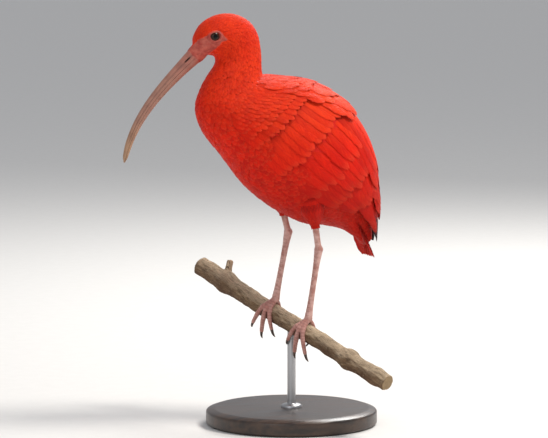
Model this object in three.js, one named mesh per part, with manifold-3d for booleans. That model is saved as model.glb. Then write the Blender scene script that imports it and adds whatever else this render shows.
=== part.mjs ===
// A life-size scarlet ibis that stands hunched on a cut length of branch, on a plain display stand.
// Millimetres, +Z up. The bird faces -X and its plane of symmetry is XZ.
// The origin is the centre of the base's underside.
import * as THREE from "three";
import { mergeVertices } from "three/addons/utils/BufferGeometryUtils.js";
import Module from "manifold-3d";

const wasm = await Module();
wasm.setup();

// Driving sizes
const GAP = 0.3; // between pieces that touch
const FOOT_LEVEL = 110; // of the bird's own zero height above the base's underside
const BASE_RADIUS = 92;
const BASE_HEIGHT = 18;
const ROD_RADIUS = 4.5;
const BRANCH_RADIUS = 9.5;
const BRANCH_LENGTH = 300;
const BRANCH_RUN = new THREE.Vector3(0.398, -0.859, -0.318).normalize(); // from its upper to its lower end
const BRANCH_DROP = -1.5; // height of the branch's middle in the bird's frame
const EYE_RADIUS = 6;
const VANE_THICKNESS = 0.75;

// How finely the forms are faceted
const BILL_LENGTH_SAMPLES = 14;
const BODY_ROWS = 44;
const BODY_COLUMNS = 18;
const BILL_COLUMNS = 10;
const EYE_COLUMNS = 14;
const EYE_ROWS = 8;
const THIGH_SIDES = 12;
const LEG_SIDES = 9;
const JOINT_ROWS = 6;
const TOE_SIDES = 6;
const BRANCH_SIDES = 12;
const BRANCH_ROWS = 24;
const BASE_SIDES = 40;
const ROD_SIDES = 20;

// Sections of the head, neck and trunk, from the bill's root to the rump. Each is an ellipse that stands
// across the bird's plane, from its under side to its over side, given as [x, z], with its half width.
const FRONT_SECTIONS = [
  { under: [-98, 284.5], over: [-109.4, 298.8], half: 8.6 }, // bill's root
  { under: [-97, 286], over: [-107.8, 309.5], half: 12 },
  { under: [-95, 287.5], over: [-98.5, 322.5], half: 16 },
  { under: [-92.5, 288.5], over: [-82, 330.5], half: 18.2 }, // crown
  { under: [-89.5, 288], over: [-63, 331], half: 19 },
  { under: [-87, 287], over: [-46.5, 323.5], half: 19 },
  { under: [-85.5, 285], over: [-37, 311], half: 19 }, // nape
  { under: [-85, 281], over: [-33.5, 297], half: 19.5 },
  { under: [-88, 274.5], over: [-32.5, 286.5], half: 21 },
  { under: [-96, 263], over: [-32.5, 278], half: 23 },
  { under: [-103, 249], over: [-32, 272], half: 25.5 },
];
const SHOULDER_SECTIONS = [
  { under: [-107, 234], over: [-31, 267.5], half: 29 },
  { under: [-104.5, 219], over: [-24, 267.5], half: 34 },
  { under: [-95.7, 202], over: [-9, 266], half: 41 },
  { under: [-76.6, 179], over: [18, 261.5], half: 48 },
  { under: [-57.4, 154], over: [43.5, 249], half: 52 },
  { under: [-38.3, 136], over: [65.5, 232], half: 51.5 },
  { under: [-14.4, 119.5], over: [83.5, 206], half: 47 },
];
const RUMP_SECTIONS = [
  { under: [14.4, 106], over: [86, 170], half: 33 },
  { under: [38, 103], over: [90, 143], half: 24 },
  { under: [58, 98], over: [92, 122], half: 17 },
  { under: [73, 89], over: [94, 104], half: 11 },
  { under: [84, 80], over: [94, 88], half: 6.5 },
];
const FOLDED_WING_SECTIONS = [
  { under: [14.4, 106], over: [95, 175.5], half: 38.5 },
  { under: [38, 103.5], over: [100.5, 143], half: 30 },
  { under: [60, 100], over: [102.5, 114], half: 22.5 },
  { under: [80, 87], over: [100.5, 95], half: 15 },
  { under: [90, 79], over: [99.5, 84], half: 9 },
];

// The bill's middle line, and its half depth and half width from root to tip.
const BILL_LINE = new THREE.CubicBezierCurve3(
  new THREE.Vector3(-103.9, 0, 291.4),
  new THREE.Vector3(-146.8, 0, 252.8),
  new THREE.Vector3(-177, 0, 222),
  new THREE.Vector3(-185.4, 0, 177.5),
);
const BILL_HALF_DEPTHS = [9.2, 7.7, 6.8, 6.1, 5.5, 4.9, 4.3, 3.6, 2.2];
const BILL_HALF_WIDTHS = [8.4, 6.4, 5.3, 4.7, 4.3, 3.9, 3.5, 3.1, 2.1];

// Where each leg's joints are, in the bird's frame. Side +1 is the bird's right.
const LEGS = [
  {
    name: "right",
    side: 1,
    knee: [-6, 25, 150],
    thighEnd: [1, 24, 116],
    ankle: [6, 22.5, 95],
    foot: [-8.4, 22.6, 23],
  },
  {
    name: "left",
    side: -1,
    knee: [12, -25, 142],
    thighEnd: [19.5, -24, 106],
    ankle: [24, -22.5, 80],
    foot: [12, -23.4, 6.5],
  },
];
const THIGH_RADII = [17, 17.5, 15, 10.5, 5.2];
const SHIN_RADII = [3.6, 3.4, 3.3, 3.5, 4.5];
const SHANK_RADII = [4.6, 3.5, 3.1, 3, 3.1, 3.4, 4.3];
const ANKLE_RADIUS = 4.7;
const HEEL_RADIUS = 4.4;
const TOES = [
  { name: "1", reach: 10, direction: -1, spread: 0.1, radius: 2.3 },
  { name: "2", reach: 15, direction: 1, spread: -0.5, radius: 2.5 },
  { name: "3", reach: 23, direction: 1, spread: 0, radius: 2.8 },
  { name: "4", reach: 19, direction: 1, spread: 0.5, radius: 2.6 },
];
const TOE_SWELLS = [1.15, 1.05, 1, 1.02, 0.9, 0.92, 0.72]; // share of the toe's radius along it
const TOE_BENDS = { forward: [34, 62, 88], back: [48, 84] }; // degrees round the branch
const TOE_GRIP = 0.72; // share of its radius at which a toe's middle lies off the bark
const TOE_FAN = 0.85;
const TOE_CURL = 2.5; // how far a hanging toe's end turns back under the branch
const CLAW = { middle: 4.5, length: 8.5, hooks: [0.6, 2.6], radii: [1.75, 1.35, 0.35], rows: 3 };

// Finishes
const finish = (color, roughness, metalness = 0) =>
  new THREE.MeshStandardMaterial({ color, roughness, metalness });
const PLUMAGE = finish(0xd8200f, 0.75);
const BILL_HORN = finish(0x9c7468, 0.45);
const BARE_SKIN = finish(0xd08a80, 0.6);
const EYE_BROWN = finish(0x120a08, 0.08);
const CLAW_HORN = finish(0x4a3a34, 0.5);
const BARK = finish(0xa98f6e, 0.9);
const DARK_WOOD = finish(0x3a2a1e, 0.5);
const STEEL = finish(0x8b8b8b, 0.35, 0.9);

// Solids from rings of points. Ring points go round the solid; ends are closed with a fan. Columns in
// flipped are split by the other diagonal, so that the two faces of a thin piece are split alike.
function fromRings(rings, flipped = []) {
  const around = rings[0].length;
  const positions = rings.flat();
  const index = [];
  for (let i = 0; i + 1 < rings.length; i++) {
    for (let j = 0; j < around; j++) {
      const a = i * around + j;
      const b = i * around + ((j + 1) % around);
      const c = a + around;
      const d = b + around;
      if (flipped.includes(j)) index.push(a, b, c, b, d, c);
      else index.push(a, b, d, a, d, c);
    }
  }
  for (const [ring, start, turned] of [
    [rings[0], 0, true],
    [rings.at(-1), (rings.length - 1) * around, false],
  ]) {
    const middle = positions.length;
    positions.push(ring.reduce((sum, p) => sum.add(p), new THREE.Vector3()).divideScalar(around));
    for (let j = 0; j < around; j++) {
      const a = start + j;
      const b = start + ((j + 1) % around);
      index.push(...(turned ? [b, a, middle] : [a, b, middle]));
    }
  }
  const geometry = new THREE.BufferGeometry().setFromPoints(positions);
  geometry.setIndex(index);
  return solid(geometry);
}

function solid(geometry) {
  const bare = geometry.clone();
  bare.deleteAttribute("normal");
  bare.deleteAttribute("uv");
  const merged = mergeVertices(bare, 1e-4);
  const vertProperties = merged.attributes.position.array;
  const triVerts = new Uint32Array(merged.index.array);
  const made = new wasm.Manifold(new wasm.Mesh({ numProp: 3, vertProperties, triVerts }));
  if (made.volume() >= 0) return made;
  for (let i = 0; i < triVerts.length; i += 3) {
    [triVerts[i + 1], triVerts[i + 2]] = [triVerts[i + 2], triVerts[i + 1]];
  }
  return new wasm.Manifold(new wasm.Mesh({ numProp: 3, vertProperties, triVerts }));
}

const united = (solids) => solids.reduce((all, one) => all.add(one));
const pieces = (made) => made.decompose().sort((a, b) => b.volume() - a.volume());
const largest = (made) => pieces(made)[0];

function middleOf(made) {
  const box = made.boundingBox();
  return new THREE.Vector3(...box.min).add(new THREE.Vector3(...box.max)).divideScalar(2);
}

function boxAt(centre, along, size) {
  const geometry = new THREE.BoxGeometry(...size);
  const up = new THREE.Vector3(0, 0, 1);
  geometry.applyQuaternion(new THREE.Quaternion().setFromUnitVectors(up, along.clone().normalize()));
  geometry.translate(centre.x, centre.y, centre.z);
  return solid(geometry);
}

const mix = (a, b, share) => a + (b - a) * share;

function ramp(value, start, end) {
  const share = Math.min(1, Math.max(0, (value - start) / (end - start)));
  return share * share * (3 - 2 * share);
}

// Evenly spaced values read off as a smooth line, at a share of its length
function profile(values) {
  const line = new THREE.CatmullRomCurve3(values.map((v, i) => new THREE.Vector3(i, v, 0)));
  return (share) => line.getPoint(share).y;
}

// A repeatable row of random numbers from 0 to 1
function seeded(seed) {
  let state = seed;
  return () => {
    state = (state * 1664525 + 1013904223) % 4294967296;
    return state / 4294967296;
  };
}

const STATION_STEP = 0.02; // of the walk along a surface

// A smooth body through a row of sections. Station s counts sections, angle 0 is the back, 90 degrees
// the right side and 180 degrees the belly, and lift is the height above the surface.
class SectionedBody {
  constructor(sections) {
    this.last = sections.length - 1;
    const through = (pick) => new THREE.CatmullRomCurve3(sections.map(pick), false, "catmullrom", 0.5);
    this.under = through((s) => new THREE.Vector3(s.under[0], 0, s.under[1]));
    this.over = through((s) => new THREE.Vector3(s.over[0], 0, s.over[1]));
    this.half = through((s, i) => new THREE.Vector3(i, s.half, 0));
  }

  frame(s) {
    const share = Math.min(1, Math.max(0, s / this.last));
    const low = this.under.getPoint(share);
    const high = this.over.getPoint(share);
    const up = high.clone().sub(low).divideScalar(2);
    const tall = up.length();
    const half = this.half.getPoint(share).y;
    return { centre: low.add(high).divideScalar(2), up: up.normalize(), tall, half };
  }

  point(s, angle, lift = 0) {
    const { centre, up, tall, half } = this.frame(s);
    const turned = THREE.MathUtils.degToRad(angle);
    centre.addScaledVector(up, (tall + lift) * Math.cos(turned));
    centre.y += (half + lift) * Math.sin(turned);
    return centre;
  }

  // Degrees of angle for a millimetre across the surface
  degrees(s, angle) {
    return 1 / this.point(s, angle + 0.5).distanceTo(this.point(s, angle - 0.5));
  }

  // The station that lies a distance further along the surface
  advance(s, angle, distance) {
    let at = s;
    let left = distance;
    let here = this.point(at, angle);
    while (left > 0 && at < this.last) {
      at += STATION_STEP;
      const next = this.point(at, angle);
      left -= next.distanceTo(here);
      here = next;
    }
    return at;
  }

  loft(from, to, rows, columns, lift = () => 0) {
    const rings = [];
    for (let i = 0; i <= rows; i++) {
      const s = mix(from, to, i / rows);
      const ring = [];
      for (let j = 0; j < columns; j++) {
        const angle = (360 * j) / columns - 180;
        ring.push(this.point(s, angle, lift(s, Math.abs(angle))));
      }
      rings.push(ring);
    }
    return fromRings(rings);
  }
}

// Head, neck and trunk
const NECK_ROOT = FRONT_SECTIONS.length; // station where the folded wing's sections begin
const trunk = new SectionedBody([...FRONT_SECTIONS, ...SHOULDER_SECTIONS, ...RUMP_SECTIONS]);
const folded = new SectionedBody([...SHOULDER_SECTIONS, ...FOLDED_WING_SECTIONS]);

// The hollow in the trunk's side that the folded wing lies in: its depth, the stations from the neck's
// root at which it opens and closes, and the angles of its upper and lower edges
const WING_BED = {
  depth: 6.5,
  opens: [0.8, 2.4],
  closes: [6, 7],
  top: [38, -12],
  topAlong: [1, 4.5],
  topSlope: 12,
  low: [122, 136],
};

function wingBed(s, angle) {
  const { depth, opens, closes, top, topAlong, topSlope, low } = WING_BED;
  const from = s - NECK_ROOT;
  const along = ramp(from, ...opens) * (1 - ramp(from, ...closes));
  const edge = mix(...top, ramp(from, ...topAlong));
  return -depth * along * ramp(angle, edge, edge + topSlope) * (1 - ramp(angle, ...low));
}

const bodyShape = (grow) =>
  trunk.loft(0, trunk.last, BODY_ROWS, BODY_COLUMNS, (s, angle) => wingBed(s, angle) + grow);

// A thin cut across the body at a station, which ends just past the section's edges
const CUT_MARGIN = 5;

function sectionCut(s) {
  const { centre, up, tall, half } = trunk.frame(s);
  const across = new THREE.Vector3(0, 1, 0);
  const facing = up.clone().cross(across);
  const geometry = new THREE.BoxGeometry(2 * tall + CUT_MARGIN, 2 * half + 2 * CUT_MARGIN, GAP);
  geometry.applyMatrix4(new THREE.Matrix4().makeBasis(up, across, facing).setPosition(centre));
  return solid(geometry);
}

// The eye, its socket and its lids
const EYE_PLACE = new THREE.Vector3(-90.3, 13.2, 308.6);
const LID_RING = { radius: 5.3, thick: 1.15, out: 4.1, sides: 5 };

function eyeBall(side, radius) {
  const geometry = new THREE.SphereGeometry(radius, EYE_COLUMNS, EYE_ROWS);
  geometry.rotateX(Math.PI / 2);
  geometry.translate(EYE_PLACE.x, side * EYE_PLACE.y, EYE_PLACE.z);
  return solid(geometry);
}

function lids(side) {
  const { radius, thick, out, sides } = LID_RING;
  const geometry = new THREE.TorusGeometry(radius, thick, sides, EYE_COLUMNS);
  geometry.rotateX(Math.PI / 2);
  geometry.translate(EYE_PLACE.x, side * (EYE_PLACE.y + out), EYE_PLACE.z);
  return solid(geometry);
}

// The bill
const billDepth = profile(BILL_HALF_DEPTHS);
const billWidth = profile(BILL_HALF_WIDTHS);
const MOUTH_HEIGHT = -0.1; // share of the half depth at which the mandibles part
const MOUTH_CUT = { behind: 7, ahead: 3, halfWidth: 14 };
const NOSTRIL = { share: 0.09, rise: 3.4, out: 6.3, halfSizes: [4.6, 1.3, 0.9], columns: 10, rows: 6 };

function billFrame(share) {
  const centre = BILL_LINE.getPoint(share);
  const along = BILL_LINE.getTangent(share);
  const up = new THREE.Vector3(along.z, 0, -along.x);
  return { centre, along, up: up.z > 0 ? up : up.negate() };
}

function billSolid() {
  const rings = [];
  for (let i = 0; i <= BILL_LENGTH_SAMPLES; i++) {
    const share = i / BILL_LENGTH_SAMPLES;
    const { centre, up } = billFrame(share);
    rings.push(
      Array.from({ length: BILL_COLUMNS }, (_, j) => {
        const angle = (2 * Math.PI * (j + 0.5)) / BILL_COLUMNS;
        const p = centre.clone().addScaledVector(up, billDepth(share) * Math.cos(angle));
        p.y += billWidth(share) * Math.sin(angle);
        return p;
      }),
    );
  }
  return fromRings(rings);
}

// A thin sheet along the mouth's line that parts the bill
function mouthCut() {
  const { behind, ahead, halfWidth } = MOUTH_CUT;
  const rings = [];
  for (let i = -1; i <= BILL_LENGTH_SAMPLES + 1; i++) {
    const share = Math.min(1, Math.max(0, i / BILL_LENGTH_SAMPLES));
    const { centre, along, up } = billFrame(share);
    let beyond = 0;
    if (i < 0) beyond = -behind;
    if (i > BILL_LENGTH_SAMPLES) beyond = ahead;
    const at = centre.addScaledVector(along, beyond).addScaledVector(up, MOUTH_HEIGHT * billDepth(share));
    rings.push(
      [[-1, -1], [1, -1], [1, 1], [-1, 1]].map(([y, z]) => {
        const p = at.clone().addScaledVector(up, (z * GAP) / 2);
        p.y += y * halfWidth;
        return p;
      }),
    );
  }
  return fromRings(rings);
}

// The slit of a nostril, in the groove at the side of the upper mandible's root
function nostril(side) {
  const { share, rise, out, halfSizes, columns, rows } = NOSTRIL;
  const { centre, along, up } = billFrame(share);
  const geometry = new THREE.SphereGeometry(1, columns, rows);
  geometry.scale(...halfSizes);
  geometry.applyMatrix4(new THREE.Matrix4().makeBasis(along, new THREE.Vector3(0, 1, 0), up));
  const at = centre.addScaledVector(up, rise);
  geometry.translate(at.x, side * out, at.z);
  return solid(geometry);
}

// A feather's vane that lies along a surface from its root to its tip, bent across its shaft. Each pair
// is a share of its length and the share of its width there.
const VANE_SHAPE = [[0, 0.6], [0.5, 1], [0.85, 0.82], [1, 0.26]];

function vane(surface, { from, to, width, lift, roll, camber = 0 }) {
  const across = camber ? [-1, 0, 1] : [-1, 1];
  const rings = VANE_SHAPE.map(([share, spread]) => {
    const s = mix(from[0], to[0], share);
    const angle = mix(from[1], to[1], share);
    const height = mix(lift[0], lift[1], share);
    const reach = (width / 2) * spread * surface.degrees(s, angle);
    const at = (side, face) => {
      const bend = side === 0 ? camber : side * roll * spread;
      return surface.point(s, angle + side * reach, height + bend + (face * VANE_THICKNESS) / 2);
    };
    return [...across.map((side) => at(side, 1)), ...across.toReversed().map((side) => at(side, -1))];
  });
  return fromRings(rings, camber ? [3, 4] : [2]);
}

// Rows of vanes on the folded wing: lesser, median and greater coverts, secondaries, tertials and two rows
// of scapulars. roots and tips give the station and angle of the first vane, next to the back, and of the
// last, at the wing's lower edge. Each row of coverts lies over the roots of the next.
const WING_ROWS = [
  { count: 4, length: 28, width: 20, roots: [[1.15, 58], [1.3, 116]], turn: 2, lift: [-2.6, 1.1] },
  { count: 5, length: 38, width: 22, roots: [[2.0, 50], [2.1, 121]], turn: 1, lift: [-2.6, 1.2] },
  { count: 5, length: 51, width: 25, roots: [[3.0, 48], [3.1, 123]], turn: 0, lift: [-2.8, 1.2] },
  { count: 5, length: 78, width: 24, roots: [[4.5, 50], [4.4, 122]], turn: -8, lift: [-3, 0.9] },
  {
    count: 3,
    length: 104,
    width: 23,
    roots: [[4.3, 13], [4.3, 42]],
    turn: 1,
    lift: [-2.8, 1.3],
    camber: 0.4,
  },
  { count: 3, length: 44, width: 21, roots: [[1.5, 30], [1.3, 56]], turn: -3, lift: [-1.8, 1.9] },
  { count: 3, length: 62, width: 22, roots: [[2.9, 15], [2.8, 40]], turn: -1, lift: [-2, 2.2] },
];
const WING_ROLL = 0.8; // how far a vane's lower edge stands over its neighbour
const ROOT_SHIFT = 0.12; // in stations
const LENGTH_SPREAD = 0.12;
const PRIMARIES = {
  count: 5,
  width: 13,
  root: [6.6, 84],
  spread: 16,
  tips: [[9.35, 74], [10.95, 42]],
  lift: [-3.6, -0.6],
  sink: 0.5,
  roll: 0.5,
};
const WING_CORE = {
  from: 0.75,
  to: 9.3,
  rows: 10,
  columns: 5,
  front: -5,
  frontRows: 2.5,
  top: -1.9,
  edge: -2.2,
  under: -11,
};

// The angles that the folded wing's upper and lower edges run through, and the stations between which
// they change
const WING_TOP = { angles: [46, 5], falls: [0.8, 4.2] };
const WING_LOW = { angles: [100, 124, 62], falls: [0.7, 2.2], rises: [6.3, 10] };

function wingEdges(s) {
  const [front, middle, back] = WING_LOW.angles;
  const top = mix(...WING_TOP.angles, ramp(s, ...WING_TOP.falls));
  const low = mix(mix(front, middle, ramp(s, ...WING_LOW.falls)), back, ramp(s, ...WING_LOW.rises));
  return [top, low];
}

function wingCore(side) {
  const { from, to, rows, columns, front, frontRows, top, edge, under } = WING_CORE;
  const rings = [];
  for (let i = 0; i <= rows; i++) {
    const s = mix(from, to, i / rows);
    const [high, low] = wingEdges(s);
    const height = mix(front, top, ramp(i, 0, frontRows));
    const outer = [];
    const inner = [];
    for (let j = 0; j <= columns; j++) {
      const angle = mix(high, low, j / columns);
      const atEdge = j === 0 || j === columns;
      outer.push(folded.point(s, side * angle, atEdge ? height + edge : height));
      inner.unshift(folded.point(s, side * angle, under));
    }
    rings.push([...outer, ...inner]);
  }
  return fromRings(rings);
}

function wingVanes(side, random) {
  const made = [];
  const add = (options) => made.push(vane(folded, options));
  for (const row of WING_ROWS) {
    for (let k = 0; k < row.count; k++) {
      const share = k / (row.count - 1);
      const s = mix(row.roots[0][0], row.roots[1][0], share) + ROOT_SHIFT * (random() - 0.5);
      const angle = mix(row.roots[0][1], row.roots[1][1], share);
      const length = row.length * (1 + LENGTH_SPREAD * (random() - 0.5));
      const tip = folded.advance(s, side * angle, length);
      const lower = angle + row.turn;
      add({
        from: [s, side * angle],
        to: [tip, side * lower],
        width: row.width,
        lift: row.lift,
        roll: side * WING_ROLL,
        camber: row.camber,
      });
    }
  }
  const { count, width, root, spread, tips, lift, sink, roll } = PRIMARIES;
  for (let k = 0; k < count; k++) {
    const share = k / (count - 1);
    add({
      from: [root[0], side * (root[1] + spread * (0.5 - share))],
      to: [mix(tips[0][0], tips[1][0], share), side * mix(tips[0][1], tips[1][1], share)],
      width,
      lift: [lift[0], lift[1] - sink * share],
      roll: side * roll,
    });
  }
  return made;
}

// The tail's fan: u runs from its root to its tip, v across it, both in millimetres
const TAIL_ROOT = new THREE.Vector3(70, 0, 118);
const TAIL_RUN = new THREE.Vector3(0.425, 0, -0.905).normalize();
const TAIL_RISE = new THREE.Vector3(-TAIL_RUN.z, 0, TAIL_RUN.x);
const TAIL = {
  feathers: 9,
  length: 58,
  shorter: 0.35, // towards its sides
  width: 14,
  narrower: 0.03, // share a feather, towards its sides
  spread: 7.5,
  rootStep: 1.6,
  top: 2.2,
  stack: 0.75,
  roll: -0.25,
  arch: 0.012,
};
const TAIL_ROOM = { ahead: 4, beyond: 4, halfWidths: [14.5, 21], under: -4.4, side: 1, over: 4.2 };
const tailFan = {
  point(u, v, lift) {
    const rise = lift - TAIL.arch * v * v;
    const p = TAIL_ROOT.clone().addScaledVector(TAIL_RUN, u).addScaledVector(TAIL_RISE, rise);
    p.y += v;
    return p;
  },
  degrees: () => 1,
};

function tailSolid() {
  const made = [];
  const half = (TAIL.feathers - 1) / 2;
  for (let k = -half; k <= half; k++) {
    const angle = THREE.MathUtils.degToRad((TAIL.spread * k) / half);
    const length = TAIL.length - TAIL.shorter * Math.abs(k) ** 1.5;
    const stack = TAIL.top - TAIL.stack * Math.abs(k);
    const root = k * TAIL.rootStep;
    made.push(
      vane(tailFan, {
        from: [0, root],
        to: [length * Math.cos(angle), root + length * Math.sin(angle)],
        width: TAIL.width * (1 - TAIL.narrower * Math.abs(k)),
        lift: [stack, stack],
        roll: Math.sign(k) * TAIL.roll,
      }),
    );
  }
  return united(made);
}

// Space kept clear for the tail between the wings
function tailRoom() {
  const { ahead, beyond, halfWidths, under, side, over } = TAIL_ROOM;
  const rings = [-ahead, TAIL.length + beyond].map((u) => {
    const wide = mix(...halfWidths, u / TAIL.length);
    const corners = [[-wide, under], [wide, under], [wide, side], [0, over], [-wide, side]];
    return corners.map(([v, rise]) => tailFan.point(u, v, rise));
  });
  return fromRings(rings);
}

// Round limbs along a line of points, each with its own radius
function limb(points, radii, sides, rows) {
  const line = new THREE.CatmullRomCurve3(points, false, "centripetal");
  const radius = profile(radii);
  const rings = [];
  let across = new THREE.Vector3(0, 1, 0);
  for (let i = 0; i <= rows; i++) {
    const share = i / rows;
    const centre = line.getPoint(share);
    const along = line.getTangent(share);
    across = across.clone().addScaledVector(along, -across.dot(along)).normalize();
    const up = along.clone().cross(across);
    rings.push(
      Array.from({ length: sides }, (_, j) => {
        const angle = (2 * Math.PI * j) / sides;
        return centre
          .clone()
          .addScaledVector(across, radius(share) * Math.cos(angle))
          .addScaledVector(up, radius(share) * Math.sin(angle));
      }),
    );
  }
  return fromRings(rings);
}

const vector = (list) => new THREE.Vector3(...list);
const between = (a, b, share) => a.clone().lerp(b, share);

function thigh(leg, grow) {
  const knee = vector(leg.knee);
  const end = vector(leg.thighEnd);
  const radii = THIGH_RADII.map((r) => r + grow);
  const reach = end.clone().addScaledVector(end.clone().sub(knee).normalize(), grow);
  return limb([knee, between(knee, end, 0.5), reach], radii, THIGH_SIDES, JOINT_ROWS);
}

// The branch, which bends a little and has a few swellings. Forward is level and away from the tail.
const BRANCH_FORWARD = new THREE.Vector3(0, 0, 1).cross(BRANCH_RUN).normalize().negate();
const BRANCH_UP = BRANCH_FORWARD.clone().cross(BRANCH_RUN);
const branchMiddle = new THREE.Vector3(1.5, 0, BRANCH_DROP);
const UPPER_RISE = { from: 40, curve: 0.00022 };
const LOWER_DROP = { from: 45, curve: 0.00012 };
const SWAY = { size: 2.2, length: 48, between: [40, 90] };
const BRANCH_TAPER = 0.006;
const KNOTS = [
  { at: -108, swell: 2.6, wide: 9 },
  { at: 92, swell: 2.2, wide: 8 },
  { at: 134, swell: 1.4, wide: 7 },
];

// The middle of the branch, a distance along it from where it crosses the rod
function branchLine(q) {
  const rise = UPPER_RISE.curve * Math.max(0, -q - UPPER_RISE.from) ** 2;
  const drop = LOWER_DROP.curve * Math.max(0, q - LOWER_DROP.from) ** 2;
  const sway = SWAY.size * Math.sin(q / SWAY.length) * ramp(Math.abs(q), ...SWAY.between);
  return branchMiddle
    .clone()
    .addScaledVector(BRANCH_RUN, q)
    .addScaledVector(BRANCH_UP, rise - drop)
    .addScaledVector(BRANCH_FORWARD, sway);
}

function branchRadius(q) {
  const knots = KNOTS.reduce((sum, k) => sum + k.swell * Math.exp(-(((q - k.at) / k.wide) ** 2)), 0);
  return BRANCH_RADIUS - BRANCH_TAPER * q + knots;
}

function branchSolid(grow) {
  const rings = [];
  for (let i = 0; i <= BRANCH_ROWS; i++) {
    const q = BRANCH_LENGTH * (i / BRANCH_ROWS - 0.5);
    const centre = branchLine(q);
    rings.push(
      Array.from({ length: BRANCH_SIDES }, (_, j) => {
        const angle = (2 * Math.PI * j) / BRANCH_SIDES;
        const radius = branchRadius(q) + grow;
        return centre
          .clone()
          .addScaledVector(BRANCH_UP, radius * Math.cos(angle))
          .addScaledVector(BRANCH_FORWARD, radius * Math.sin(angle));
      }),
    );
  }
  return fromRings(rings);
}

// The stub of a side twig, cut short, that leaves the branch's first knot
const TWIG = { up: 0.75, forward: -0.5, along: -0.55, length: 25, radii: [5, 4.2, 3.4], sides: 9, rows: 3 };

function twigStub() {
  const { up, forward, along, length, radii, sides, rows } = TWIG;
  const root = branchLine(KNOTS[0].at);
  const end = root
    .clone()
    .addScaledVector(BRANCH_UP, up * length)
    .addScaledVector(BRANCH_FORWARD, forward * length)
    .addScaledVector(BRANCH_RUN, along * length);
  return limb([root, between(root, end, 0.5), end], radii, sides, rows);
}

// A toe goes forward over the branch, or back for the hind toe, bends round it and hangs
function toeLine(leg, toe) {
  const joint = vector(leg.foot);
  const q = joint.clone().sub(branchMiddle).dot(BRANCH_RUN);
  const ring = BRANCH_RADIUS + toe.radius * TOE_GRIP;
  const points = [joint.clone()];
  const spreadAt = (travel) => -leg.side * toe.spread * travel * TOE_FAN;
  const bends = toe.direction > 0 ? TOE_BENDS.forward : TOE_BENDS.back;
  for (const bend of bends) {
    const turned = THREE.MathUtils.degToRad(bend);
    points.push(
      branchLine(q + spreadAt(turned * ring))
        .addScaledVector(BRANCH_UP, ring * Math.cos(turned))
        .addScaledVector(BRANCH_FORWARD, toe.direction * ring * Math.sin(turned)),
    );
  }
  const last = points.at(-1);
  const travel = THREE.MathUtils.degToRad(bends.at(-1)) * ring;
  for (const share of [0.5, 1]) {
    points.push(
      last
        .clone()
        .addScaledVector(BRANCH_UP, -toe.reach * share)
        .addScaledVector(BRANCH_FORWARD, -toe.direction * TOE_CURL * share * share)
        .addScaledVector(BRANCH_RUN, spreadAt(travel + toe.reach * share) - spreadAt(travel)),
    );
  }
  return points;
}

function clawSolid(points, toe) {
  const tip = points.at(-1);
  const run = tip.clone().sub(points.at(-2)).normalize();
  const hook = BRANCH_FORWARD.clone().multiplyScalar(-toe.direction);
  const start = tip.clone().addScaledVector(run, GAP);
  const middle = start.clone().addScaledVector(run, CLAW.middle).addScaledVector(hook, CLAW.hooks[0]);
  const end = start.clone().addScaledVector(run, CLAW.length).addScaledVector(hook, CLAW.hooks[1]);
  return limb([start, middle, end], CLAW.radii, TOE_SIDES, CLAW.rows);
}

// Assembly
const ibis = new THREE.Group();
ibis.position.set(-branchMiddle.x, 0, FOOT_LEVEL);
const display = new THREE.Group();
display.add(ibis);

function addNode(parent, name, made, material) {
  const { numProp, vertProperties, triVerts } = made.getMesh();
  if (numProp !== 3) throw new Error(name + " carries more than positions");
  const geometry = new THREE.BufferGeometry();
  geometry.setAttribute("position", new THREE.BufferAttribute(vertProperties, 3));
  geometry.setIndex(new THREE.BufferAttribute(triVerts, 1));
  geometry.computeVertexNormals();
  const mesh = new THREE.Mesh(geometry, material);
  mesh.name = name;
  parent.add(mesh);
}

// Head, neck and trunk are one form with thin cuts between them, at these stations
const BODY_CUTS = [6.6, 9, 11];
let whole = bodyShape(0).add(lids(1)).add(lids(-1));
for (const side of [1, -1]) whole = whole.subtract(eyeBall(side, EYE_RADIUS + GAP));
const mouth = mouthCut();
whole = largest(whole.subtract(mouth));
for (const s of BODY_CUTS) whole = whole.subtract(sectionCut(s));
const [trunkPiece, ...others] = pieces(whole);
const fromTheTop = (a, b) => middleOf(b).z - middleOf(a).z;
const [head, neckUpper, neckLower] = others.slice(0, 3).sort(fromTheTop);
addNode(ibis, "head", head, PLUMAGE);
addNode(ibis, "neck_upper", neckUpper, PLUMAGE);
addNode(ibis, "neck_lower", neckLower, PLUMAGE);
addNode(ibis, "torso", trunkPiece, PLUMAGE);
for (const [name, side] of [["right", 1], ["left", -1]]) {
  addNode(ibis, "eye_" + name, eyeBall(side, EYE_RADIUS), EYE_BROWN);
}

// The bill is cut off from the head's front, then parted along the mouth
const ROOT_CUT = { behind: 4.2, size: [60, 60, 10] };
const rootFrame = billFrame(0);
const rootMiddle = rootFrame.centre.clone().addScaledVector(rootFrame.along, -ROOT_CUT.behind);
const rootCut = boxAt(rootMiddle, rootFrame.along, ROOT_CUT.size);
let bill = billSolid().subtract(rootCut).subtract(mouth);
bill = bill.subtract(nostril(1)).subtract(nostril(-1));
bill = bill.subtract(bodyShape(GAP));
const [upperBill, lowerBill] = pieces(bill)
  .slice(0, 2)
  .sort((a, b) => middleOf(a).x - middleOf(b).x);
addNode(ibis, "bill_upper", upperBill, BILL_HORN);
addNode(ibis, "bill_lower", lowerBill, BILL_HORN);

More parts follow.
